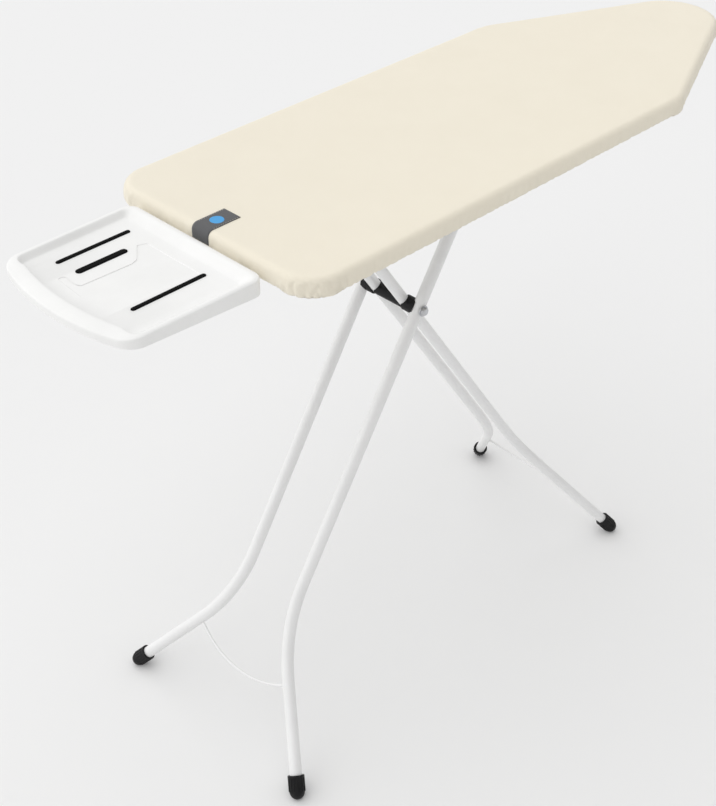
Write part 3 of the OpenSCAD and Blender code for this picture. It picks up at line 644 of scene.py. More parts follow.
# %% [markdown]
# ## The finished cover
# The settled band is joined to the flat middle of the cover, which the pad holds in place. Rows
# there run from the band's inner ring to a line down the middle of the board. The flat cut
# becomes the UV map in metres, and Solidify gives the cloth its thickness.

# %% Cover cloth
SPINE_FROM, SPINE_TO = HEEL + 0.19, HEEL + BOARD_L - 0.12
MIDDLE_ROWS = 6


def spine(x):
    """The point of the middle line that an outline point is joined to."""
    return Vector((min(max(x, SPINE_FROM), SPINE_TO), 0.0, TOP - CLOTH / 2))


def swell(p):
    """How much the padded top rises and falls, in metres, away from its edges."""
    soft = noise.noise(Vector((p.x * 5, p.y * 7, 0.3))) + 0.5 * noise.noise(Vector((p.x * 13, p.y * 17, 1.7)))
    return -0.0004 * (0.9 + soft)


def build_cover():
    """The whole cover: the settled band and the middle, with the cut as UVs."""
    verts, cuts = list(BAND), [Vector((p.x, p.y)) for p in FLAT]
    inner = board_ring(ROWS[0][0])
    for r in range(1, MIDDLE_ROWS + 1):
        t = r / MIDDLE_ROWS
        for x, y in inner:
            edge = Vector((x, y, TOP - CLOTH / 2))
            p = edge.lerp(spine(x), t)
            p.z += swell(p) * min(1.0, t * 4)
            verts.append(p)
            cuts.append(Vector((p.x, p.y)))
    band = band_faces(len(ROWS), RING)
    offset = len(ROWS) * RING
    middle = []
    for i in range(RING):
        j = (i + 1) % RING
        middle.append((i, offset + i, offset + j, j))
    middle += [f[::-1] for f in band_faces(MIDDLE_ROWS, RING, offset)]
    piece = make_piece("cover_cloth", verts, band + middle, COTTON)
    chart = piece.data.uv_layers.new(name="cut")
    for loop in piece.data.loops:
        chart.data[loop.index].uv = cuts[loop.vertex_index]
    recalc(piece)
    if sum(p.normal.z * p.area for p in piece.data.polygons if p.center.z > TOP - 0.004) < 0:
        piece.data.flip_normals()
    return piece


cover = build_cover()
cut_ring = board_ring(ROWS[0][0] - walked[-1])
thick = cover.modifiers.new("thickness", "SOLIDIFY")
thick.thickness, thick.offset = CLOTH, 0
bake_modifiers(cover)

# %% Cover on the board
cover.data.shade_smooth()
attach(cover, "board")
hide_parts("cover")

# %% [markdown]
# ## The foam pad
# Under the cotton lies a sheet of foam, cut to the deck. Cut foam has an edge that bellies out a
# little between its two faces and rounds over at the top, so its rows follow a bulging profile.

# %% Pad
PAD_LO, PAD_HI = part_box("foam_pad")
PAD_GAP = 0.0004


def build_pad():
    """A closed slab of foam with a rounded, slightly bellied edge."""
    inset, deep = PAD_LO.x - HEEL, PAD_HI.z - PAD_LO.z
    profile = [(0.05, 1.0), (0.03, 0.995), (0.016, 0.985), (0.009, 0.95), (0.0048, 0.87), (0.0022, 0.75),
               (0.0008, 0.6), (0.0, 0.4), (0.0006, 0.15), (0.003, 0.0), (0.03, 0.0), (0.05, 0.0)]
    rows = [(inset + k, PAD_LO.z + share * (deep - PAD_GAP)) for k, share in profile]
    verts = [Vector((x, y, z)) for k, z in rows for x, y in board_ring(min(k, 0.052))]
    faces = band_faces(len(rows), RING)
    for row, level, flip in ((0, PAD_HI.z - PAD_GAP, False), (len(rows) - 1, PAD_LO.z, True)):
        start = len(verts)
        for x, y in board_ring(0.05):
            verts.append(Vector((spine(x).x, 0.0, level)))
        for i in range(RING):
            j = (i + 1) % RING
            face = (row * RING + i, row * RING + j, start + j, start + i)
            faces.append(face if flip else face[::-1])
    pad = recalc(make_piece("pad_slab", verts, faces, FOAM))
    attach(pad, "board")
    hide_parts("foam_pad")
    print("pad", len(pad.data.polygons), "faces")


build_pad()

# %% [markdown]
# ## Geometry Nodes helpers
# Rivets, stitches, ribs and the mesh of the deck all repeat, so small node trees make them. Each
# tree takes its sizes as named inputs, ends in Realize Instances and Set Material, and is baked
# to a plain mesh before the piece is used.

# %% Tree helpers
GEOMETRY, INTEGER = "NodeSocketGeometry", "NodeSocketInt"


def geometry_tree(name, inputs):
    """A Geometry Nodes tree with a geometry input and output and the named inputs."""
    tree = bpy.data.node_groups.new(name, "GeometryNodeTree")
    tree.interface.new_socket("Geometry", in_out="INPUT", socket_type=GEOMETRY)
    for label, kind, value in inputs:
        tree.interface.new_socket(label, in_out="INPUT", socket_type=kind).default_value = value
    tree.interface.new_socket("Geometry", in_out="OUTPUT", socket_type=GEOMETRY)
    return tree, tree.nodes.new("NodeGroupInput"), tree.nodes.new("NodeGroupOutput")


def close_tree(tree, end, shape, material, smooth=True):
    """Realizes the instances, shades and paints them, and ends the tree."""
    solid = put(tree, "GeometryNodeRealizeInstances", {"Geometry": shape})
    shaded = put(tree, "GeometryNodeSetShadeSmooth", {"Geometry": solid.outputs[0], "Shade Smooth": smooth})
    painted = put(tree, "GeometryNodeSetMaterial", {"Geometry": shaded.outputs[0], "Material": material})
    tree.links.new(painted.outputs[0], end.inputs[0])
    return tree


def grow(name, verts, edges, faces, tree, material, **values):
    """Bakes a tree on a base mesh into a plain new object."""
    base = bpy.data.meshes.new(name)
    base.from_pydata([tuple(v) for v in verts], edges, faces)
    obj = link(bpy.data.objects.new(name, base))
    step = obj.modifiers.new("grow", "NODES")
    step.node_group = tree
    for item in tree.interface.items_tree:
        key = item.name.replace(" ", "_")
        if item.in_out == "INPUT" and key in values:
            step[item.identifier] = values[key]
    bake_modifiers(obj)
    obj.data.name = name
    if not obj.data.materials:
        obj.data.materials.append(material)
    print(name, len(obj.data.polygons), "faces")
    return obj


def seat(obj, body):
    """Rides a piece on its body."""
    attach(obj, body)
    return obj


# %% [markdown]
# ## The expanded steel deck
# The deck lets steam through: it is sheet steel, slit and pulled open into diamonds. Every
# diamond's four strands cross at its corners, so a lattice of small crosses makes the whole
# sheet. The tree drops a lattice of points onto the board's outline with a raycast, throws away
# those that miss, and puts a cross on the rest. A plain margin closes the edge.

# %% Deck
DECK_LO, DECK_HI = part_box("deck_mesh")
MARGIN_W, FIELD_INSET = 0.0135, 0.021


def build_deck_tree():
    """Crosses of flat strands on every lattice point that lies over the base mesh."""
    tree, start, end = geometry_tree("expanded_mesh", [
        ("Pitch Along", FLOAT, 0.018), ("Pitch Across", FLOAT, 0.009), ("Strand", FLOAT, 0.0016),
        ("Thickness", FLOAT, 0.001), ("Length", FLOAT, 1.2), ("Width", FLOAT, 0.45), ("Level", FLOAT, 1.0)])
    along, across = start.outputs["Pitch Along"], start.outputs["Pitch Across"]
    columns = maths(tree, "CEIL", maths(tree, "DIVIDE", start.outputs["Length"], along))
    lines = maths(tree, "CEIL", maths(tree, "DIVIDE", start.outputs["Width"], across))
    grid = put(tree, "GeometryNodeMeshGrid", {
        "Size X": maths(tree, "MULTIPLY", columns, along), "Size Y": maths(tree, "MULTIPLY", lines, across),
        "Vertices X": maths(tree, "ADD", columns, 1.0), "Vertices Y": maths(tree, "ADD", lines, 1.0)})
    place = put(tree, "ShaderNodeCombineXYZ", {"Z": start.outputs["Level"]})
    moved = put(tree, "GeometryNodeTransform", {"Geometry": grid.outputs[0], "Translation": place.outputs[0]})
    middle = put(tree, "GeometryNodeBoundBox", {"Geometry": start.outputs[0]})
    centre = put(tree, "ShaderNodeVectorMath",
                 {0: middle.outputs["Min"], 1: middle.outputs["Max"]}, operation="ADD")
    halfway = put(tree, "ShaderNodeVectorMath",
                  {0: centre.outputs[0], 1: (0.5, 0.5, 0.0)}, operation="MULTIPLY")
    centred = put(tree, "GeometryNodeTransform",
                  {"Geometry": moved.outputs[0], "Translation": halfway.outputs[0]})
    here = put(tree, "GeometryNodeInputPosition")
    above = put(tree, "ShaderNodeVectorMath", {0: here.outputs[0], 1: (0.0, 0.0, 0.05)}, operation="ADD")
    ray = put(tree, "GeometryNodeRaycast", {
        "Target Geometry": start.outputs[0], "Source Position": above.outputs[0],
        "Ray Direction": (0.0, 0.0, -1.0), "Ray Length": 1.0})
    miss = put(tree, "FunctionNodeBooleanMath", {0: ray.outputs["Is Hit"]}, operation="NOT")
    kept_points = put(tree, "GeometryNodeDeleteGeometry",
                      {"Geometry": centred.outputs[0], "Selection": miss.outputs[0]})
    reach = maths(tree, "SQRT", maths(tree, "ADD", maths(tree, "POWER", along, 2.0),
                                      maths(tree, "POWER", across, 2.0)))
    size = put(tree, "ShaderNodeCombineXYZ",
               {"X": reach, "Y": start.outputs["Strand"], "Z": start.outputs["Thickness"]})
    strand = put(tree, "GeometryNodeMeshCube", {"Size": size.outputs[0]})
    lean = maths(tree, "ARCTAN2", across, along)
    pair = put(tree, "GeometryNodeJoinGeometry")
    for turn in (lean, maths(tree, "MULTIPLY", lean, -1.0)):
        angle = put(tree, "ShaderNodeCombineXYZ", {"Z": turn})
        turned = put(tree, "GeometryNodeTransform",
                     {"Geometry": strand.outputs[0], "Rotation": angle.outputs[0]})
        tree.links.new(turned.outputs[0], pair.inputs[0])
    crosses = put(tree, "GeometryNodeInstanceOnPoints",
                  {"Points": kept_points.outputs[0], "Instance": pair.outputs[0]})
    return close_tree(tree, end, crosses.outputs[0], POWDER, smooth=False)


def build_deck():
    """The open mesh of the deck and its plain margin, as one piece."""
    inset = DECK_LO.x - HEEL
    level, deep = (DECK_LO.z + DECK_HI.z) / 2, DECK_HI.z - DECK_LO.z
    field = [Vector((x, y, level)) for x, y in board_ring(inset + FIELD_INSET)]
    mesh = grow("deck_open", field, [], [tuple(range(len(field)))], build_deck_tree(), POWDER,
                Length=BOARD_L - 0.05, Width=BOARD_W - 0.05, Level=level, Thickness=deep * 0.9)
    inner = inset + MARGIN_W
    rows = [(inset, DECK_HI.z), (inset, DECK_LO.z), (inner, DECK_LO.z), (inner, DECK_HI.z)]
    verts = [Vector((x, y, z)) for k, z in rows for x, y in board_ring(k)]
    faces = band_faces(4, RING) + [(3 * RING + i, 3 * RING + (i + 1) % RING, (i + 1) % RING, i)
                                   for i in range(RING)]
    margin = recalc(make_piece("deck_margin", verts, faces, POWDER, sharp=30))
    for piece in (mesh, margin):
        seat(piece, "board")
    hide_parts("deck_mesh")


build_deck()

# %% [markdown]
# ## The iron rest
# The rest is one moulding. Its rim is not the same all round: next to the board it is narrow and
# falls away in a wide hollow curve, at the outer end it is broad and crowned, on the far side the
# wall is steep, and on the near side the floor sweeps up to the edge. The surface is built as
# rings inside the outline; each ring's depth comes from a profile whose widths change smoothly
# with the direction in which the edge faces.

# %% Iron rest outline
REST_LO, REST_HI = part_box("iron_rest")
REST_L, REST_W = REST_HI.x - REST_LO.x, REST_HI.y - REST_LO.y
REST_Y = (REST_LO.y + REST_HI.y) / 2
REST_TOP, BULGE, DRAW, DISH = REST_HI.z, 0.026, 0.004, 0.010
REST_CORNER, REST_HEEL = 0.034, 0.020


def rounded_turn(a, v, b, radius, count):
    """A round corner at v between neighbours a and b."""
    a, v, b = Vector(a), Vector(v), Vector(b)
    u, w = (a - v).normalized(), (b - v).normalized()
    half = math.acos(max(-1.0, min(1.0, u.dot(w)))) / 2
    centre = v + (u + w).normalized() * (radius / math.sin(half))
    p, q = v + u * (radius / math.tan(half)), v + w * (radius / math.tan(half))
    a0 = math.atan2(p.y - centre.y, p.x - centre.x)
    a1 = math.atan2(q.y - centre.y, q.x - centre.x)
    turn = (a1 - a0 + math.pi) % (2 * math.pi) - math.pi
    return [(centre.x + radius * math.cos(a0 + turn * i / count),
             centre.y + radius * math.sin(a0 + turn * i / count)) for i in range(count + 1)]


def rest_ring(inset):
    """The iron rest's outline drawn in by inset, from the middle of the outer end and round."""
    half = REST_W / 2
    end_r = ((half - DRAW) ** 2 + BULGE ** 2) / (2 * BULGE)
    centre = REST_LO.x + end_r
    outer = (REST_LO.x + BULGE + inset, half - DRAW - inset)
    heel = (REST_HI.x - inset, half - inset)
    r = end_r - inset
    span = math.asin(min(1.0, outer[1] / r))
    bow = [(centre - r * math.cos(span * i / 20), r * math.sin(span * i / 20)) for i in range(21)]
    path = bow[:15]
    path += rounded_turn(bow[15], bow[20], heel, max(REST_CORNER - inset * 0.7, 0.007), 12)
    path += straight_points(path[-1], (heel[0], half - inset), 25)[1:-3]
    path += rounded_turn(outer, heel, (heel[0], 0.0), max(REST_HEEL - inset * 0.5, 0.004), 9)
    path += straight_points(path[-1], (heel[0], 0.0), 14)[1:]
    path.append((heel[0], 0.0))
    ring = path + [(x, -y) for x, y in reversed(path[1:-1])]
    return [(x, y + REST_Y) for x, y in ring]


AROUND = len(rest_ring(0))
print("iron rest", round(REST_L, 3), "x", round(REST_W, 3), "m, outline points", AROUND)

# %% Iron rest profile
def side_shares(i):
    """How much an outline point faces the outer end, the board, the far side and the near side."""
    ring = rest_ring(0.0)
    a, b = Vector(ring[i - 1]), Vector(ring[(i + 1) % AROUND])
    along = (b - a).normalized()
    out = Vector((along.y, -along.x))
    if out.dot(Vector(ring[i]) - Vector((REST_LO.x + REST_L / 2, REST_Y))) < 0:
        out = -out
    x, y = out
    shares = [max(0.0, -x) ** 2, max(0.0, x) ** 2, max(0.0, y) ** 2, max(0.0, -y) ** 2]
    return [s / sum(shares) for s in shares]


# Crown width, slope width and how far the crown falls outwards, for each side.
SIDES = {
    "end": (0.0255, 0.0045, 0.0035), "board": (0.0075, 0.021, 0.0005),
    "far": (0.0080, 0.0090, 0.0006), "near": (0.0050, 0.0200, 0.0005)}
RIM_EDGE_R, LIP_DROP, RING_STEP = 0.003, 0.0075, 0.0015
WALL_FOOT_BOARD, WALL_FOOT_END = 0.027, 0.016
REST_WALL = 0.0025


def rest_profile(i):
    """(inset, drop) pairs from the rim's outer edge in to the floor at outline point i."""
    shares = side_shares(i)
    crown, slope, fall = (sum(s * SIDES[k][j] for s, k in zip(shares, SIDES)) for j in range(3))
    edge, steps = RIM_EDGE_R, []
    for n in range(5):
        a = math.radians(90 - 90 * n / 4)
        steps.append((edge * (1 - math.sin(a)), fall + edge * (1 - math.cos(a))))
    for n in range(1, 7):
        t = n / 6
        steps.append((edge + (crown - edge) * t, fall * (1 - t) ** 2))
    for n in range(1, 14):
        t = n / 13
        s = t * t * (3 - 2 * t)
        steps.append((crown + slope * t, DISH * s))
    return steps


def wall_foot(x):
    """The lower edge of the side wall: it rises towards the outer end."""
    t = (x - REST_LO.x) / REST_L
    return REST_TOP - (WALL_FOOT_END + (WALL_FOOT_BOARD - WALL_FOOT_END) * t)


def build_rest_rings():
    """The wall's and the rim's rings of points; the last ring is the floor's edge."""
    profiles = [rest_profile(i) for i in range(AROUND)]
    cache = {}

    def point(i, inset):
        """The outline point i at an inset, between two stored rings."""
        n = int(inset / RING_STEP)
        for m in (n, n + 1):
            if m not in cache:
                cache[m] = rest_ring(m * RING_STEP)
        a, b = Vector(cache[n][i]), Vector(cache[n + 1][i])
        return a.lerp(b, inset / RING_STEP - n)

    rows = []
    for n in range(4):
        rows.append([Vector((*point(i, 0.0), 0)) for i in range(AROUND)])
        for p in rows[-1]:
            low = wall_foot(p.x)
            p.z = low + (REST_TOP - LIP_DROP - low) * n / 3
    for n in range(len(profiles[0])):
        row = []
        for i in range(AROUND):
            inset, drop = profiles[i][n]
            p = point(i, inset)
            row.append(Vector((p.x, p.y, REST_TOP - drop)))
        rows.append(row)
    return rows


rest_rows = build_rest_rings()
FLOOR_Z = REST_TOP - DISH
print("rest rings", len(rest_rows), "floor at", round(FLOOR_Z, 4))

# %% [markdown]
# The floor has a sunken panel with a stepped outline. Its outline, with rounded corners, becomes
# a hole in the floor, a narrow bevelled step and a lower face. The triangulator handles a polygon
# with a hole, so nothing has to be cut by a boolean.

# %% Iron rest floor
# The panel's corners in millimetres from the middle of the moulding's edge by the board.
PANEL = [(-48, 52), (-63, 58), (-88, 26), (-100, 22), (-186, 25), (-190, 33),
         (-188, 62), (-199, 63), (-204, 2), (-197, -62), (-48, -66)]
PANEL_SINK, PANEL_BEVEL, PANEL_CORNER = 0.001, 0.0011, 0.004


def panel_ring():
    """The sunken panel's outline with round corners, anticlockwise."""
    corners = [Vector((REST_HI.x + x / 1000, REST_Y + y / 1000)) for x, y in PANEL]
    ring = []
    for i, v in enumerate(corners):
        a, b = corners[i - 1], corners[(i + 1) % len(corners)]
        room = min((a - v).length, (b - v).length) * 0.35
        ring += rounded_turn(a, v, b, min(PANEL_CORNER, room), 4)
    out = [Vector(p) for p in ring]
    area = sum(a.x * b.y - b.x * a.y for a, b in zip(out, out[1:] + out[:1]))
    return out if area > 0 else out[::-1]


def build_rest():
    """The whole moulding: wall, rim, floor, panel, and its thickness."""
    verts = [p for row in rest_rows for p in row]
    faces = band_faces(len(rest_rows), AROUND)
    last = (len(rest_rows) - 1) * AROUND
    edge = [verts[last + i] for i in range(AROUND)]
    wide, narrow = panel_ring(), panel_ring()
    centre = sum((Vector(p) for p in wide), Vector((0, 0))) / len(wide)
    for p in narrow:
        p += (centre - p).normalized() * PANEL_BEVEL
    loops = [[Vector((p.x, p.y, 0)) for p in edge], [Vector((p.x, p.y, 0)) for p in wide]]
    fills = geometry.tessellate_polygon(loops)
    rim_count = len(verts)
    verts += [Vector((p.x, p.y, FLOOR_Z)) for p in wide]
    verts += [Vector((p.x, p.y, FLOOR_Z - PANEL_SINK)) for p in narrow]
    for tri in fills:
        faces.append(tuple(last + k if k < AROUND else rim_count + k - AROUND for k in tri))
    n = len(wide)
    for i in range(n):
        j = (i + 1) % n
        faces.append((rim_count + i, rim_count + j, rim_count + n + j, rim_count + n + i))
    low_ring = [Vector((p.x, p.y, 0)) for p in narrow]
    for tri in geometry.tessellate_polygon([low_ring]):
        faces.append(tuple(rim_count + n + k for k in tri))
    rest = recalc(make_piece("iron_rest_moulding", verts, faces, MOULDED))
    if sum(p.normal.z * p.area for p in rest.data.polygons) < 0:
        rest.data.flip_normals()
    wall = rest.modifiers.new("wall", "SOLIDIFY")
    wall.thickness, wall.offset, wall.use_even_offset = REST_WALL, -1, False
    bake_modifiers(rest)
    rest.data.shade_smooth()
    rest.data.set_sharp_from_angle(angle=math.radians(32))
    seat(rest, "board")
    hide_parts("iron_rest")
    print("iron rest faces", len(rest.data.polygons))


build_rest()

# %% [markdown]
# ## Rubber strips
# Three rubber strips keep the iron's sole off the moulding. Each is a long stadium with a domed
# back, so a hot iron touches little of it. They are made a little longer, wider and taller than
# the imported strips.

# %% Strips
STRIP_SWELL, STRIP_RAISE = Vector((0.0012, 0.0009, 0)), Vector((0, 0, 0.0008))
STRIP_PROFILE = ((0.0, 0.0), (0.0, 0.62), (0.12, 0.82), (0.34, 0.95), (0.62, 1.0), (0.9, 1.0))


def strip_rings(lo, hi):
    """Rings of a domed stadium between two corners of its box."""
    r, mid, tall = (hi.y - lo.y) / 2, (lo.y + hi.y) / 2, hi.z - lo.z
    rings = []
    for inset, share in STRIP_PROFILE:
        q = r * (1 - inset)
        ring = [(hi.x - r + q * math.cos(a), mid + q * math.sin(a))
                for a in (math.radians(-90 + 180 * i / 12) for i in range(13))]
        ring += [(lo.x + r + q * math.cos(a), mid + q * math.sin(a))
                 for a in (math.radians(90 + 180 * i / 12) for i in range(13))]
        rings.append([Vector((x, y, lo.z + tall * share)) for x, y in ring])
    return rings


def build_strip(name):
    """One rubber strip in place of its plain solid."""
    lo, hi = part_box(name)
    rings = strip_rings(lo - STRIP_SWELL, hi + STRIP_SWELL + STRIP_RAISE)
    verts = [p for ring in rings for p in ring]
    count = len(rings[0])
    faces = band_faces(len(rings), count)
    faces.append(tuple(range(count))[::-1])
    faces.append(tuple(range((len(rings) - 1) * count, len(rings) * count)))
    piece = recalc(make_piece(name + "_domed", verts, faces, RUBBER, sharp=50))
    seat(piece, "board")
    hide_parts(name)


for strip in ("rest_strip_left", "rest_strip_broad", "rest_strip_right"):
    build_strip(strip)

# %% [markdown]
# ## Ribbed feet
# Each foot is a soft black cap pushed over the end of a tube, with a bullet end and ribs along
# its sides for grip. The body is turned from a profile, and a node tree sets the ribs round it
# and moves the whole cap onto the end of its tube.

# %% Cap tree
def build_cap_tree():
    """A turned cap with ribs round its axis, moved into place."""
    tree, start, end = geometry_tree("ribbed_cap", [
        ("Ribs", INTEGER, 16), ("Radius", FLOAT, 0.0142), ("Rib Radius", FLOAT, 0.0009),
        ("Length", FLOAT, 0.027), ("Tilt", VECTOR, (0, 0, 0)), ("Place", VECTOR, (0, 0, 0))])
    low = put(tree, "ShaderNodeCombineXYZ", {"X": start.outputs["Radius"], "Z": -0.001})
    high = put(tree, "ShaderNodeCombineXYZ", {
        "X": start.outputs["Radius"], "Z": maths(tree, "SUBTRACT", start.outputs["Length"], 0.0045)})
    line = put(tree, "GeometryNodeCurvePrimitiveLine", {"Start": low.outputs[0], "End": high.outputs[0]})
    ring = put(tree, "GeometryNodeCurvePrimitiveCircle",
               {"Resolution": 8, "Radius": start.outputs["Rib Radius"]})
    rib = put(tree, "GeometryNodeCurveToMesh",
              {"Curve": line.outputs[0], "Profile Curve": ring.outputs[0], "Fill Caps": True})
    points = put(tree, "GeometryNodePoints", {"Count": start.outputs["Ribs"], "Position": (0, 0, 0)})
    index = put(tree, "GeometryNodeInputIndex")
    all_turns = maths(tree, "MULTIPLY", index.outputs[0], 2 * math.pi)
    angle = put(tree, "ShaderNodeCombineXYZ", {"Z": maths(tree, "DIVIDE", all_turns, start.outputs["Ribs"])})
    ribs = put(tree, "GeometryNodeInstanceOnPoints",
               {"Points": points.outputs[0], "Instance": rib.outputs[0], "Rotation": angle.outputs[0]})
    both = put(tree, "GeometryNodeJoinGeometry")
    tree.links.new(start.outputs[0], both.inputs[0])
    tree.links.new(ribs.outputs[0], both.inputs[0])
    moved = put(tree, "GeometryNodeTransform", {
        "Geometry": both.outputs[0], "Rotation": start.outputs["Tilt"],
        "Translation": start.outputs["Place"]})
    return close_tree(tree, end, moved.outputs[0], BLACK)


CAP_TREE = build_cap_tree()

# %% Caps on the tube ends
CAP_R, CAP_L, CAP_LIFT = 0.015, 0.027, 0.014
CAP_AROUND = 48
# Each pair of legs: its lean in degrees up from +X, its half width at the floor and at the top, the
# length of its splayed part along the lean, its foot's X, and its tube's radius.
LEGS = {
    "outer": (58, 0.234, 0.064, 0.249, -0.553675, 0.011),
    "inner": (124.5, 0.194, 0.033, 0.293, 0.417381, 0.010)}


def turned_cap(tube_r):
    """The cap's body along +Z, with its ball's middle at the origin: outside, lip and bore."""
    profile = [(CAP_R * 0.93 * math.sin(a), -CAP_R * math.cos(a)) for a in
               (math.radians(90 * i / 10) for i in range(11))]
    profile += [(CAP_R * 0.935, CAP_L - 0.0052), (CAP_R, CAP_L - 0.0044), (CAP_R, CAP_L - 0.001),
                (CAP_R * 0.965, CAP_L), (tube_r + 0.0007, CAP_L), (tube_r + 0.0002, CAP_L - 0.0008),
                (tube_r + 0.0002, CAP_L - 0.012)]
    turns = [2 * math.pi * i / CAP_AROUND for i in range(CAP_AROUND)]
    verts = [(r * math.cos(a), r * math.sin(a), z) for r, z in profile for a in turns]
    faces = band_faces(len(profile), CAP_AROUND)
    last = (len(profile) - 1) * CAP_AROUND
    faces.append(tuple(range(last, last + CAP_AROUND)))
    shape = bmesh.new()
    mesh = bpy.data.meshes.new("cap")
    mesh.from_pydata(verts, [], faces)
    shape.from_mesh(mesh)
    bmesh.ops.remove_doubles(shape, verts=shape.verts, dist=1e-6)
    bmesh.ops.recalc_face_normals(shape, faces=shape.faces)
    shape.verts.index_update()
    return [v.co.copy() for v in shape.verts], [tuple(v.index for v in f.verts) for f in shape.faces]


def leg_axis(lean, foot_y, top_y, splay, foot_x, side):
    """The middle of a foot's ball and the direction of its tube."""
    a, lean = math.atan((foot_y - top_y) / splay), math.radians(lean)
    axis = Vector((math.cos(a) * math.cos(lean), -math.sin(a) * side, math.cos(a) * math.sin(lean)))
    return Vector((foot_x, side * foot_y, 0)) + axis * (CAP_LIFT / axis.z), axis


def build_cap(name, body, tube_r, middle, axis):
    """One ribbed cap in place of its plain solid."""
    verts, faces = turned_cap(tube_r)
    cap = grow(name + "_ribbed", verts, [], faces, CAP_TREE, BLACK, Radius=CAP_R * 0.935, Length=CAP_L,
               Tilt=axis.to_track_quat("Z", "Y").to_euler(), Place=middle)
    for v in cap.data.vertices:
        v.co.z = max(v.co.z, 0.0002)
    seat(cap, body)
    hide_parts(name)


for side, word in ((1, "left"), (-1, "right")):
    for pair, (*slant, tube_r) in LEGS.items():
        build_cap(f"{pair}_foot_{word}", pair + "_legs", tube_r, *leg_axis(*slant, side))

# %% [markdown]
# ## Hem and stitches
# The cover's hem is a narrow casing that runs round under the rim. A row of stitches holds it, and
# each stitch is a small bead of thread laid along the row.

# %% Hem casing and stitches
def build_stitch_tree():
    """Beads of thread along the base mesh's edges."""
    tree, start, end = geometry_tree("stitches", [
        ("Stitch", FLOAT, 0.0028), ("Pitch", FLOAT, 0.0042), ("Radius", FLOAT, 0.0003)])
    curve = put(tree, "GeometryNodeMeshToCurve", {"Mesh": start.outputs[0]})
    points = put(tree, "GeometryNodeCurveToPoints",
                 {"Curve": curve.outputs[0], "Length": start.outputs["Pitch"]}, mode="LENGTH")
    bead = put(tree, "GeometryNodeMeshIcoSphere", {"Radius": start.outputs["Radius"], "Subdivisions": 1})
    bead_w = maths(tree, "MULTIPLY", start.outputs["Radius"], 2.0)
    grown = put(tree, "ShaderNodeCombineXYZ", {
        "X": 1.0, "Y": 1.0, "Z": maths(tree, "DIVIDE", start.outputs["Stitch"], bead_w)})
    long_bead = put(tree, "GeometryNodeTransform", {"Geometry": bead.outputs[0], "Scale": grown.outputs[0]})
    turn = put(tree, "FunctionNodeAlignRotationToVector", {"Vector": points.outputs["Tangent"]}, axis="Z")
    beads = put(tree, "GeometryNodeInstanceOnPoints", {
        "Points": points.outputs["Points"], "Instance": long_bead.outputs[0], "Rotation": turn.outputs[0]})
    return close_tree(tree, end, beads.outputs[0], THREAD)


STITCH_TREE = build_stitch_tree()


def sew(name, paths):
    """Stitches along closed or open lists of points."""
    verts, edges = [], []
    for points, closed in paths:
        first = len(verts)
        verts += points
        last = len(points) if closed else len(points) - 1
        edges += [(first + i, first + (i + 1) % len(points)) for i in range(last)]
    seat(grow(name, verts, edges, [], STITCH_TREE, THREAD), "board")


def hem_row(row, share, drop):
    """Points along the settled cover between two of its rows, just outside the cloth."""
    low, high = BAND[row * RING:(row + 1) * RING], BAND[(row + 1) * RING:(row + 2) * RING]
    return [a.lerp(b, share) + Vector((0, 0, -drop)) for a, b in zip(low, high)]


HEM_R, HEM_SIDES = 0.0016, 8


def build_hem():
    """A soft tube along the hem's inner edge, where the cloth is turned over."""
    line = [p.copy() for p in BAND[(len(ROWS) - 1) * RING:]]
    verts = []
    for i, p in enumerate(line):
        ahead = (line[(i + 1) % RING] - line[i - 1]).normalized()
        side = ahead.cross(Vector((0, 0, 1))).normalized()
        r = HEM_R * (1 + 0.12 * math.sin(i * 2.4))
        for k in range(HEM_SIDES):
            a = 2 * math.pi * k / HEM_SIDES
            verts.append(p + side * (r * math.cos(a)) + Vector((0, 0, r * 0.55 * math.sin(a))))
    faces = []
    for i in range(RING):
        here, after = i * HEM_SIDES, (i + 1) % RING * HEM_SIDES
        for k in range(HEM_SIDES):
            m = (k + 1) % HEM_SIDES
            faces.append((here + k, after + k, after + m, here + m))
    hem = recalc(make_piece("hem_casing", verts, faces, COTTON))
    chart = hem.data.uv_layers.new(name="cut")
    for loop in hem.data.loops:
        ring, k = divmod(loop.vertex_index, HEM_SIDES)
        chart.data[loop.index].uv = (ring * STEP, k * HEM_R * 0.7)
    seat(hem, "board")


build_hem()
sew("hem_stitches", [(hem_row(len(ROWS) - 3, 0.2, CLOTH), True)])

# %% [markdown]
# ## The label
# A woven tab hangs over the heel edge. It is a small ribbon that follows the cover's rounded edge,
# with a plain blue disc as its only mark. Its two long sides are stitched down on the top.

# %% Label ribbon
LABEL_FLAT_POINTS, LABEL_ACROSS = 14, 12


def label_path(lift):
    """The ribbon's middle line from its end on the top, over the edge, to its hanging end."""
    r = EDGE_R + lift
    top, face = TOP + lift, HEEL - lift
    path = [(HEEL + LABEL_ON - (LABEL_ON - EDGE_R) * i / LABEL_FLAT_POINTS, top)
            for i in range(LABEL_FLAT_POINTS)]
    path += [(HEEL + EDGE_R - r * math.sin(a), TOP - EDGE_R + r * math.cos(a))
             for a in (math.radians(90 * i / 7) for i in range(8))]
    low = TOP - LABEL_DROP
    path += [(face, TOP - EDGE_R + (low - TOP + EDGE_R) * i / 5) for i in range(1, 6)]
    return path


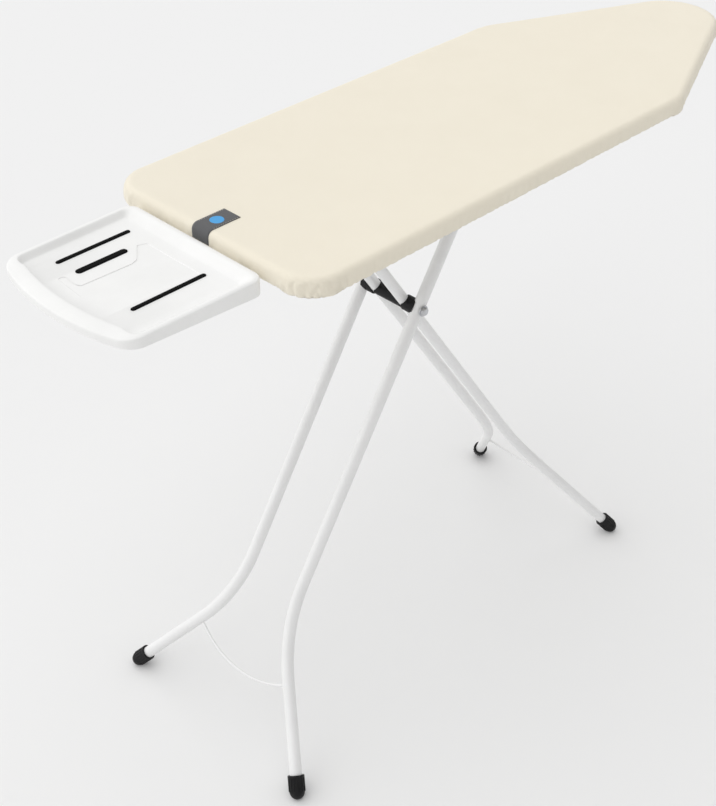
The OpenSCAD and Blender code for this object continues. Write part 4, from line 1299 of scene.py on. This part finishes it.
def build_label():
    """The ribbon as a thin closed strip, with its flat place as the UV map."""
    path = label_path(LABEL_T * 0.75)
    run_out = [0.0]
    for a, b in zip(path, path[1:]):
        run_out.append(run_out[-1] + math.dist(a, b))
    verts, cuts = [], []
    for (x, z), s in zip(path, run_out):
        for k in range(LABEL_ACROSS + 1):
            y = LABEL_Y + LABEL_W * (k / LABEL_ACROSS - 0.5)
            verts.append(Vector((x, y, z)))
            cuts.append((s, y))
    quads = band_faces(len(path), LABEL_ACROSS + 1, closed=False)
    label = make_piece("label_ribbon", verts, quads, RIBBON)
    chart = label.data.uv_layers.new(name="cut")
    for loop in label.data.loops:
        chart.data[loop.index].uv = cuts[loop.vertex_index]
    if sum(p.normal.z * p.area for p in label.data.polygons) < 0:
        label.data.flip_normals()
    thick = label.modifiers.new("thickness", "SOLIDIFY")
    thick.thickness, thick.offset = LABEL_T, 0
    bake_modifiers(label)
    seat(label, "board")
    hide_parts("label_tab")
    return label, run_out[-1]


label, label_length = build_label()
label_edges = []
for side in (-1, 1):
    y = LABEL_Y + side * (LABEL_W / 2 - 0.0018)
    flat_part = label_path(LABEL_T * 1.3)[:LABEL_FLAT_POINTS]
    label_edges.append(([Vector((x, y, z)) for x, z in flat_part], False))
sew("label_stitches", label_edges)
print("label", round(LABEL_W, 4), "x", round(label_length, 4), "m")

# %% Label disc
DISC_R, DISC_AROUND = 0.011, 40
DISC_LEVELS = [(1.0, -0.0002), (1.0, 0.00012), (0.95, 0.0002), (0.8, 0.00022), (0.5, 0.00024), (0.2, 0.00025)]


def build_disc():
    """A thin raised blue disc on the ribbon's top, domed a little, of closely set rings."""
    middle = Vector((HEEL + LABEL_ON * 0.52, LABEL_Y, TOP + LABEL_T * 1.22))
    turns = [2 * math.pi * i / DISC_AROUND for i in range(DISC_AROUND)]
    verts = [middle + Vector((DISC_R * share * math.cos(a), DISC_R * share * math.sin(a), level))
             for share, level in DISC_LEVELS for a in turns]
    faces = band_faces(len(DISC_LEVELS), DISC_AROUND)
    faces.append(tuple(range(len(verts) - DISC_AROUND, len(verts))))
    faces.append(tuple(range(DISC_AROUND))[::-1])
    seat(recalc(make_piece("label_disc", verts, faces, PRINT)), "board")


build_disc()
print("label disc across", DISC_R * 2, "m")

# %% [markdown]

# %% [markdown]
# ## Rivets
# The cross rails are riveted to the rims, with two rivets near each end. Each rivet is a low dome
# on the underside of the rail. One tree makes the dome and sets it on every point.

# %% Rivet tree and places
def build_rivet_tree():
    """Low domes on the base mesh's points, facing down."""
    tree, start, end = geometry_tree("rivets", [("Radius", FLOAT, 0.003), ("Height", FLOAT, 0.0011)])
    ball = put(tree, "GeometryNodeMeshUVSphere",
               {"Radius": start.outputs["Radius"], "Segments": 14, "Rings": 8})
    squash = put(tree, "ShaderNodeCombineXYZ", {
        "X": 1.0, "Y": 1.0, "Z": maths(tree, "DIVIDE", start.outputs["Height"], start.outputs["Radius"])})
    dome = put(tree, "GeometryNodeTransform", {"Geometry": ball.outputs[0], "Scale": squash.outputs[0]})
    points = put(tree, "GeometryNodeMeshToPoints", {"Mesh": start.outputs[0]})
    set_out = put(tree, "GeometryNodeInstanceOnPoints",
                  {"Points": points.outputs[0], "Instance": dome.outputs[0]})
    return close_tree(tree, end, set_out.outputs[0], ZINC)


def rail_points(name):
    """Two rivet places near each end of a cross rail, on its underside."""
    lo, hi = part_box(name)
    mid = (lo.x + hi.x) / 2
    return [Vector((mid, side * (hi.y - k), lo.z - 0.0001)) for side in (-1, 1) for k in (0.009, 0.024)]


RAILS = ["tail_rail", "hinge_rail", "latch_rail", "nose_rail"]
places = [p for name in RAILS for p in rail_points(name)]
seat(grow("rail_rivets", places, [], [], build_rivet_tree(), ZINC), "board")

# %% [markdown]
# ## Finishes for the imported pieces
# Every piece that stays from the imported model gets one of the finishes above. Its name tells
# whether it is black plastic or plated steel, and everything else is powder coated white.

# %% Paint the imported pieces
COATS = {
    BLACK: ["hub", "saddle", "glide_", "paddle", "nut"],
    ZINC: ["bracket", "pin", "screw", "arm", "clamp", "shaft", "hook", "spring", "bolt", "washer",
           "guide_rail"],
}
painted = {}
for obj in bpy.context.scene.objects:
    if obj.type == "MESH" and obj.name in nodes:
        coat = POWDER
        for material, words in COATS.items():
            if any(word in obj.name for word in words):
                coat = material
        obj.data.materials.clear()
        obj.data.materials.append(coat)
        painted.setdefault(coat.name, []).append(obj.name)
for coat, names in painted.items():
    print(coat, len(names), names[:12])
